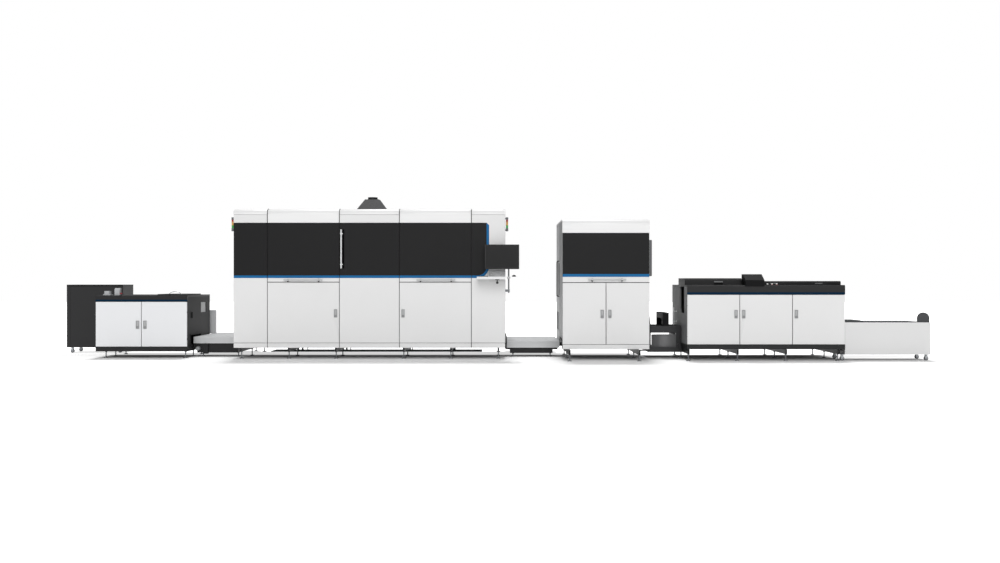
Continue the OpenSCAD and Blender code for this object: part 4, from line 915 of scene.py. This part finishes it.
screen_low, screen_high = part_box("console_screen")
casing = Finish("screen_casing")
softened("console_screen", casing.surface(
    Base_Color=casing.between(casing.noise(14.0) * 0.3, tone(30, 30, 31), tone(36, 36, 38)),
    Roughness=0.48, Specular_IOR_Level=0.3, Normal=casing.texture(0.00006, 1500.0)))

bezel_side = 0.0165
bezel_low = 0.0205
bezel_high = 0.0165
glass_back = 0.003
glass_thick = 0.0008
glass_w = screen_high[0] - screen_low[0] - 2 * bezel_side
glass_h = screen_high[2] - screen_low[2] - bezel_low - bezel_high
pane = facing_front(moulded([
    (0.0, glass_w, glass_h, 0.002), (glass_thick, glass_w, glass_h, 0.002)], 1))
glass = Finish("dark_glass")
glass_cloud = glass.noise(3.0, 1.0)
glass_black = glass.surface(
    Base_Color=glass.between(glass_cloud, tone(20, 20, 21), tone(24, 24, 25)),
    Roughness=0.30 + glass_cloud * 0.04, Specular_IOR_Level=0.2)
glass_place = (
    (screen_low[0] + screen_high[0]) / 2, screen_low[1] + glass_back,
    (screen_low[2] + bezel_low + screen_high[2] - bezel_high) / 2)
pane = copies(pane, [glass_place])
skin("screen_glass", pane, "console_screen", glass_black, smooth=False)


# ---- Tower's left wall ----
# The sheet steel wall towards the print unit. Its front part is painted darker, cover plates stand
# proud on it, and a smoked window sits in a rubber gasket. The unwinder has a smaller one.

wall_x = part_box("tower_left_wall")[0][0]
front_zone_d = 0.840
recess_low = 0.398
recess_high = 0.682
wall = Finish("tower_wall_grey")
wall_z = wall.place("Z")
plate = wall.place("X") < wall_x + 0.0028
front_zone = wall.place("Y") - tower_y < front_zone_d
# Painted shade: the recess low on the wall, set in from its face, is dark grey.
recess = (wall_z > recess_low) * (wall_z < recess_high) * (wall.place("X") > wall_x + 0.010)
wall_tone = wall.between(front_zone, tone(192, 193, 194), tone(158, 159, 160))
wall_tone = wall.between(plate, wall_tone, tone(204, 205, 206))
wall_tone = wall.between(recess, wall_tone, tone(92, 94, 97))
wall_cloud = wall.noise(1.3, 2.0)
dress("tower_left_wall", wall.surface(
    Base_Color=wall.darkened(wall_tone, wall_cloud * 0.08),
    Roughness=0.42 + wall_cloud * 0.08, Normal=wall.texture(0.00006)))

panes = Finish("smoked_pane")
pane_cloud = panes.noise(1.1, 1.0)
pane_grey = panes.between(pane_cloud, tone(162, 163, 164), tone(172, 173, 174))
dress("side_windows", panes.surface(
    Base_Color=panes.between(panes.place("X") > 0.0, pane_grey, tone(132, 133, 135)),
    Roughness=0.30 + pane_cloud * 0.05, Specular_IOR_Level=0.3))


def gasket(y0, y1, z0, z1, thick=0.012, corner=0.030, steps=6):
    """A half-round rubber profile carried round a rectangle with round corners, in the plane
    X = 0, its back to the wall and its front towards -X."""
    turn = np.linspace(0.0, np.pi / 2, steps)
    angle = (turn[None, :] + np.arange(4)[:, None] * np.pi / 2).ravel()
    cy = np.repeat([y1 - corner, y0 + corner, y0 + corner, y1 - corner], steps)
    cz = np.repeat([z1 - corner, z1 - corner, z0 + corner, z0 + corner], steps)
    section = np.linspace(0.0, 2.0 * np.pi, 9)
    reach = corner + thick * np.cos(section)[None, :]
    rise = np.maximum(np.sin(section), 0.0)[None, :] * thick * 0.6
    loop = np.stack([
        -(rise + 0.0 * angle[:, None]),
        cy[:, None] + reach * np.cos(angle)[:, None],
        cz[:, None] + reach * np.sin(angle)[:, None]], axis=2)
    return np.concatenate([loop, loop[:1]])


rubber = Finish("gasket_rubber")
gasket_rubber = rubber.surface(
    Base_Color=rubber.between(rubber.noise(40.0) * 0.5, tone(28, 28, 30), tone(40, 40, 42)),
    Roughness=0.66, Normal=rubber.texture(0.0001, 900.0, 2.0))
window_front = tower_y + 0.850
window_back = tower_y + 1.600
window_low = 0.930
window_high = 1.475
window_gasket = gasket(window_front, window_back, window_low, window_high)
gasket_place = (wall_x + 0.003, 0.0, 0.0)
skin("tower_window_gasket", copies(window_gasket, [gasket_place]), "root", gasket_rubber)


# ---- Low units: trims, bands, decks and walls ----
# The finishing unit and the unwinder share one build: a gloss navy trim over the doors, a satin
# black band, a black deck with a bevelled front, and grey end walls and rear panels.

trims = Finish("navy_gloss")
trim_cloud = trims.noise(1.5, 2.0)
dress("navy_trims", trims.surface(
    Base_Color=trims.between(trim_cloud * 0.3, tone(0, 34, 56), tone(2, 40, 64)),
    Roughness=0.40 + trim_cloud * 0.06, Specular_IOR_Level=0.05))
dress("dark_bands", paint("band_black", tone(29, 29, 30), rough=0.42, shine=0.25))
dress("low_decks", paint("deck_black", tone(30, 30, 31), rough=0.44, peel=0.0001, shine=0.25))
dress("low_rear_panels", paint("low_rear_grey", tone(88, 90, 93)))

low_walls = Finish("low_wall_grey")
low_cloud = low_walls.noise(1.3, 2.0)
finish_side = low_walls.place("X") > 0.0
low_tone = low_walls.between(finish_side, tone(52, 52, 53), tone(130, 131, 132))
dress("low_end_walls", low_walls.surface(
    Base_Color=low_walls.darkened(low_tone, low_cloud * 0.08),
    Roughness=0.42 + low_cloud * 0.08, Specular_IOR_Level=0.05, Normal=low_walls.texture(0.00006)))

low_unit_vents = (0.34, 0.60)
low_louvre_w = 0.260
finish_rear_y = finish_y + 1.380
unwinder_rear_y = unwinder_y + 1.300
low_middles = [(finish_x + x, finish_rear_y) for x in (0.386, 1.157, 1.928)]
low_middles += [(unwinder_x + x, unwinder_rear_y) for x in (0.347, 1.041)]
low_louvres = louvres(low_middles, low_unit_vents, low_louvre_w)
low_louvre_grey = paint("low_louvre_grey", tone(88, 90, 93))
skin("low_rear_louvres", low_louvres, "root", low_louvre_grey)


# ---- Doors of the low units ----
# The same pans and latches as on the tall units, on the same hinges. The unwinder's doors are a
# cooler white and their latches sit lower.

low_hinges_left = {
    "finish_door_1": True, "finish_door_2": False, "finish_door_3": False,
    "unwinder_door_left": True, "unwinder_door_right": False}
hinges_left.update(low_hinges_left)
latch_height.update(dict.fromkeys(low_hinges_left, 0.682))
latch_height.update({"unwinder_door_left": 0.505, "unwinder_door_right": 0.505})
unwinder_white = tone(228, 229, 231)
for door in low_hinges_left:
    door_white = unwinder_white if door.startswith("unwinder") else panel_white
    softened(door, door_paint(door + "_paint", door, door_white))
    key_barrel(door)


# ---- Lids ----
# Moulded black lids over the folder and the stacker. The left one has a grey lip over its
# finger recess, and the right one's two recesses are grey inside.

lid_front = finish_y + 0.207
grip_front, grip_back = lid_front + 0.0020, lid_front + 0.0160
grip_left, grip_right = finish_x + 1.200, finish_x + 2.200
grip_low, grip_high = finish_top + 0.0155, finish_top + 0.0365
lids = Finish("lid_black")
lid_cloud = lids.noise(2.0, 2.0)
lid_x = lids.place("X")
lid_y = lids.place("Y")
lid_z = lids.place("Z")
lip = lid_y < lid_front - 0.0005
inside = (lid_y > grip_front) * (lid_y < grip_back)
along_lid = (lid_x > grip_left) * (lid_x < grip_right)
grips = inside * along_lid * (lid_z > grip_low) * (lid_z < grip_high)
lid_tone = lids.between(lid_cloud * 0.15, tone(26, 26, 27), tone(32, 32, 33))
softened("finish_lids", lids.surface(
    Base_Color=lids.between(lip + grips, lid_tone, tone(116, 117, 118)),
    Roughness=0.38 + lid_cloud * 0.08, Specular_IOR_Level=0.2, Normal=lids.texture(0.00006, 500.0)))


# ---- Control box and push buttons ----
# A plain dark sheet steel box hooked over the deck's edge. Beside it stand white push buttons
# of moulded plastic, two of them on dark red collars. The unwinder's button has a red head.

softened("finish_control_box", paint("box_grey", tone(24, 24, 25), rough=0.5, peel=0.0001, shine=0.05))

cap_foot = finish_top + 0.0092
red_collars_from = finish_x + 1.217
head_foot = unwinder_top + 0.0195
buttons = Finish("button_plastics")
button_x = buttons.place("X")
button_z = buttons.place("Z")
on_deck = button_x > 0.0
cap = (button_z > cap_foot) * on_deck
red_collar = (button_x > red_collars_from) * on_deck
head = (button_z > head_foot) * (1.0 - on_deck)
button_tone = buttons.between(red_collar, tone(60, 61, 63), tone(120, 30, 34))
button_tone = buttons.between(cap, button_tone, tone(236, 236, 234))
button_tone = buttons.between(head, button_tone, tone(130, 18, 32))
dress("push_buttons", buttons.surface(
    Base_Color=button_tone, Roughness=0.30 + buttons.noise(60.0) * 0.06, Coat_Weight=0.2))


# ---- Unwinder ----
# A black plinth, a satin loading lid with a bright wire bow, and two grey boxes on the deck.
# All are folded sheet steel but the bow, which is bent wire.

softened("unwinder_base", paint("plinth_black", tone(32, 32, 33), rough=0.44, shine=0.25))
softened("unwinder_lid", paint("loading_lid_black", tone(24, 24, 25), rough=0.40, peel=0.00005, shine=0.25))

bow_from_x = unwinder_x + 0.600
controls = Finish("deck_box_grey")
control_cloud = controls.noise(3.0, 2.0)
wire = controls.place("X") > bow_from_x
box_tone = controls.darkened(tone(176, 178, 180), control_cloud * 0.08)
dress("unwinder_controls", controls.surface(
    Base_Color=controls.between(wire, box_tone, tone(200, 202, 204)),
    Metallic=wire * 0.9, Roughness=0.44 - wire * 0.22 + control_cloud * 0.05,
    Normal=controls.texture(0.00006, 600.0)))


# ---- Extraction cabinet ----
# A dark sheet steel cabinet on casters behind the unwinder, with one plain door and pressed
# louvres that let air out at the back.

top_strip_h = 0.030
cabinet = Finish("cabinet_grey")
cabinet_cloud = cabinet.noise(1.5, 2.0)
top_strip = cabinet.place("Z") > cabinet_top - top_strip_h
cabinet_tone = cabinet.between(top_strip, tone(40, 40, 41), tone(16, 16, 17))
softened("extraction_cabinet", cabinet.surface(
    Base_Color=cabinet.darkened(cabinet_tone, cabinet_cloud * 0.1),
    Roughness=0.42 + cabinet_cloud * 0.08, Specular_IOR_Level=0.25, Normal=cabinet.texture(0.00008)))

cabinet_vents = (0.22, 0.52)
cabinet_louvre_w = 0.420
cabinet_back = (cabinet_x + cabinet_w / 2, cabinet_y + cabinet_d)
cabinet_louvres = louvres([cabinet_back], cabinet_vents, cabinet_louvre_w)
cabinet_louvre_grey = paint("cabinet_louvre_grey", tone(54, 54, 56))
skin("cabinet_louvres", cabinet_louvres, "root", cabinet_louvre_grey)


# ---- Walkway bridges ----
# Low boxes that carry the web between the units, on dark bases. Their covers are aluminium with
# raised studs on the tread. A moulded cover stands over the cable box on the first one.

dress("bridge_bases", paint("bridge_frame", tone(26, 26, 27), rough=0.48, shine=0.25))

stud_turns = 210.0
tread = Finish("tread_aluminium")
tread_place = tread.place()
stud_x = (tread_place.part("X") * stud_turns).wave()
stud_y = (tread_place.part("Y") * stud_turns).wave()
on_top = tread.node("ShaderNodeNewGeometry", {}, {}, "Normal").part("Z") > 0.9
studs = ((stud_x * stud_y) > 0.55) * on_top
tread_grain = tread.noise(1.0, 4.0, tread.stretched((8.0, 160.0, 160.0)))
dress("bridge_covers", tread.surface(
    Base_Color=tread.between(tread_grain * 0.3, tone(200, 201, 202), tone(180, 181, 182)),
    Roughness=0.42 + tread_grain * 0.14, Normal=tread.relief(studs, 0.0012)))

cable_box_foot = 0.300
fittings = Finish("fitting_grey")
fitting_cloud = fittings.noise(4.0, 2.0)
cable_box = fittings.place("Z") > cable_box_foot
fitting_tone = fittings.between(cable_box, tone(140, 142, 144), tone(206, 207, 208))
fitting_paint = fittings.surface(
    Base_Color=fittings.darkened(fitting_tone, fitting_cloud * 0.1),
    Roughness=0.42 + fitting_cloud * 0.08, Normal=fittings.texture(0.00006, 600.0))
dress("bridge_fittings", fitting_paint)

cable_w = 0.111
cable_d = 0.046
cable_h = 0.387
cable_bevel = 0.004
cable_cover = moulded([
    (0.0, cable_w, cable_d, 0.006), (cable_h - cable_bevel, cable_w, cable_d, 0.006),
    (cable_h, cable_w - 2 * cable_bevel, cable_d - 2 * cable_bevel, 0.003)])
fittings_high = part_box("bridge_fittings")[1]
cable_place = (
    unwinder_x + unwinder_w + 0.007, fittings_high[1] - 0.020, fittings_high[2] - cable_h + 0.002)
cable_cover = copies(cable_cover, [cable_place])
skin("cable_box_cover", cable_cover, "root", fitting_paint, smooth=False)
dress("web_frames", paint("frame_rubber", tone(20, 20, 21), rough=0.55, peel=0.0001, shine=0.25))


# ---- Paper infeed ----
# Cast and folded dark steel between the tower and the finishing unit, with a bright curved guide
# sheet of rolled steel.

dress("infeed_frame", paint("infeed_black", tone(40, 40, 42), rough=0.42, shine=0.3))
dress("infeed_head", paint("head_black", tone(24, 24, 25), rough=0.5, shine=0.05))
dress("infeed_side_plate", paint("plate_black", tone(24, 24, 25), rough=0.44, shine=0.3))

sheet = Finish("rolled_sheet")
roll_marks = sheet.noise(1.0, 4.0, sheet.stretched((900.0, 12.0, 12.0)))
dress("infeed_sheet", sheet.surface(
    Base_Color=sheet.between(roll_marks * 0.4, tone(110, 110, 111), tone(84, 84, 85)),
    Metallic=0.3, Roughness=0.34 + roll_marks * 0.16, Normal=sheet.relief(roll_marks, 0.00004)))


# ---- Belt unit ----
# A white delivery table on casters with a textured dark belt, dark docking rails on its left
# and a soft black end stop on its right.

housing = Finish("belt_housing_white")
housing_cloud = housing.noise(1.3, 2.0)
rails = housing.place("X") < belt_x - 0.0005
housing_tone = housing.between(rails, tone(218, 218, 218), tone(50, 51, 53))
softened("belt_housing", housing.surface(
    Base_Color=housing.darkened(housing_tone, housing_cloud * 0.04),
    Roughness=0.36 + housing_cloud * 0.08, Normal=housing.texture(0.00005)))

weave_turns = 1400.0
belt = Finish("belt_weave")
weave = (belt.place("X") * weave_turns).wave() * (belt.place("Y") * weave_turns).wave()
dress("belt_loop", belt.surface(
    Base_Color=belt.between(belt.noise(14.0) * 0.4, tone(66, 68, 70), tone(84, 86, 88)),
    Roughness=0.62, Normal=belt.relief(weave, 0.0003)))
dress("belt_end_stop", paint("stop_foam", tone(58, 60, 62), rough=0.6, peel=0.0003))

screw_in = 0.030
belt_screw_z = (0.115, 0.535)
post = turned([(0.0, 0.0), (0.006, 0.0), (0.006, 0.003), (0.0035, 0.0032), (0.0, 0.0032)], 12)
belt_screws = [
    (belt_x + x, belt_y, z) for x in (screw_in, belt_w / 2, belt_w - screw_in) for z in belt_screw_z]
skin("belt_screws", copies(facing_front(post), belt_screws), "root", white_paint)
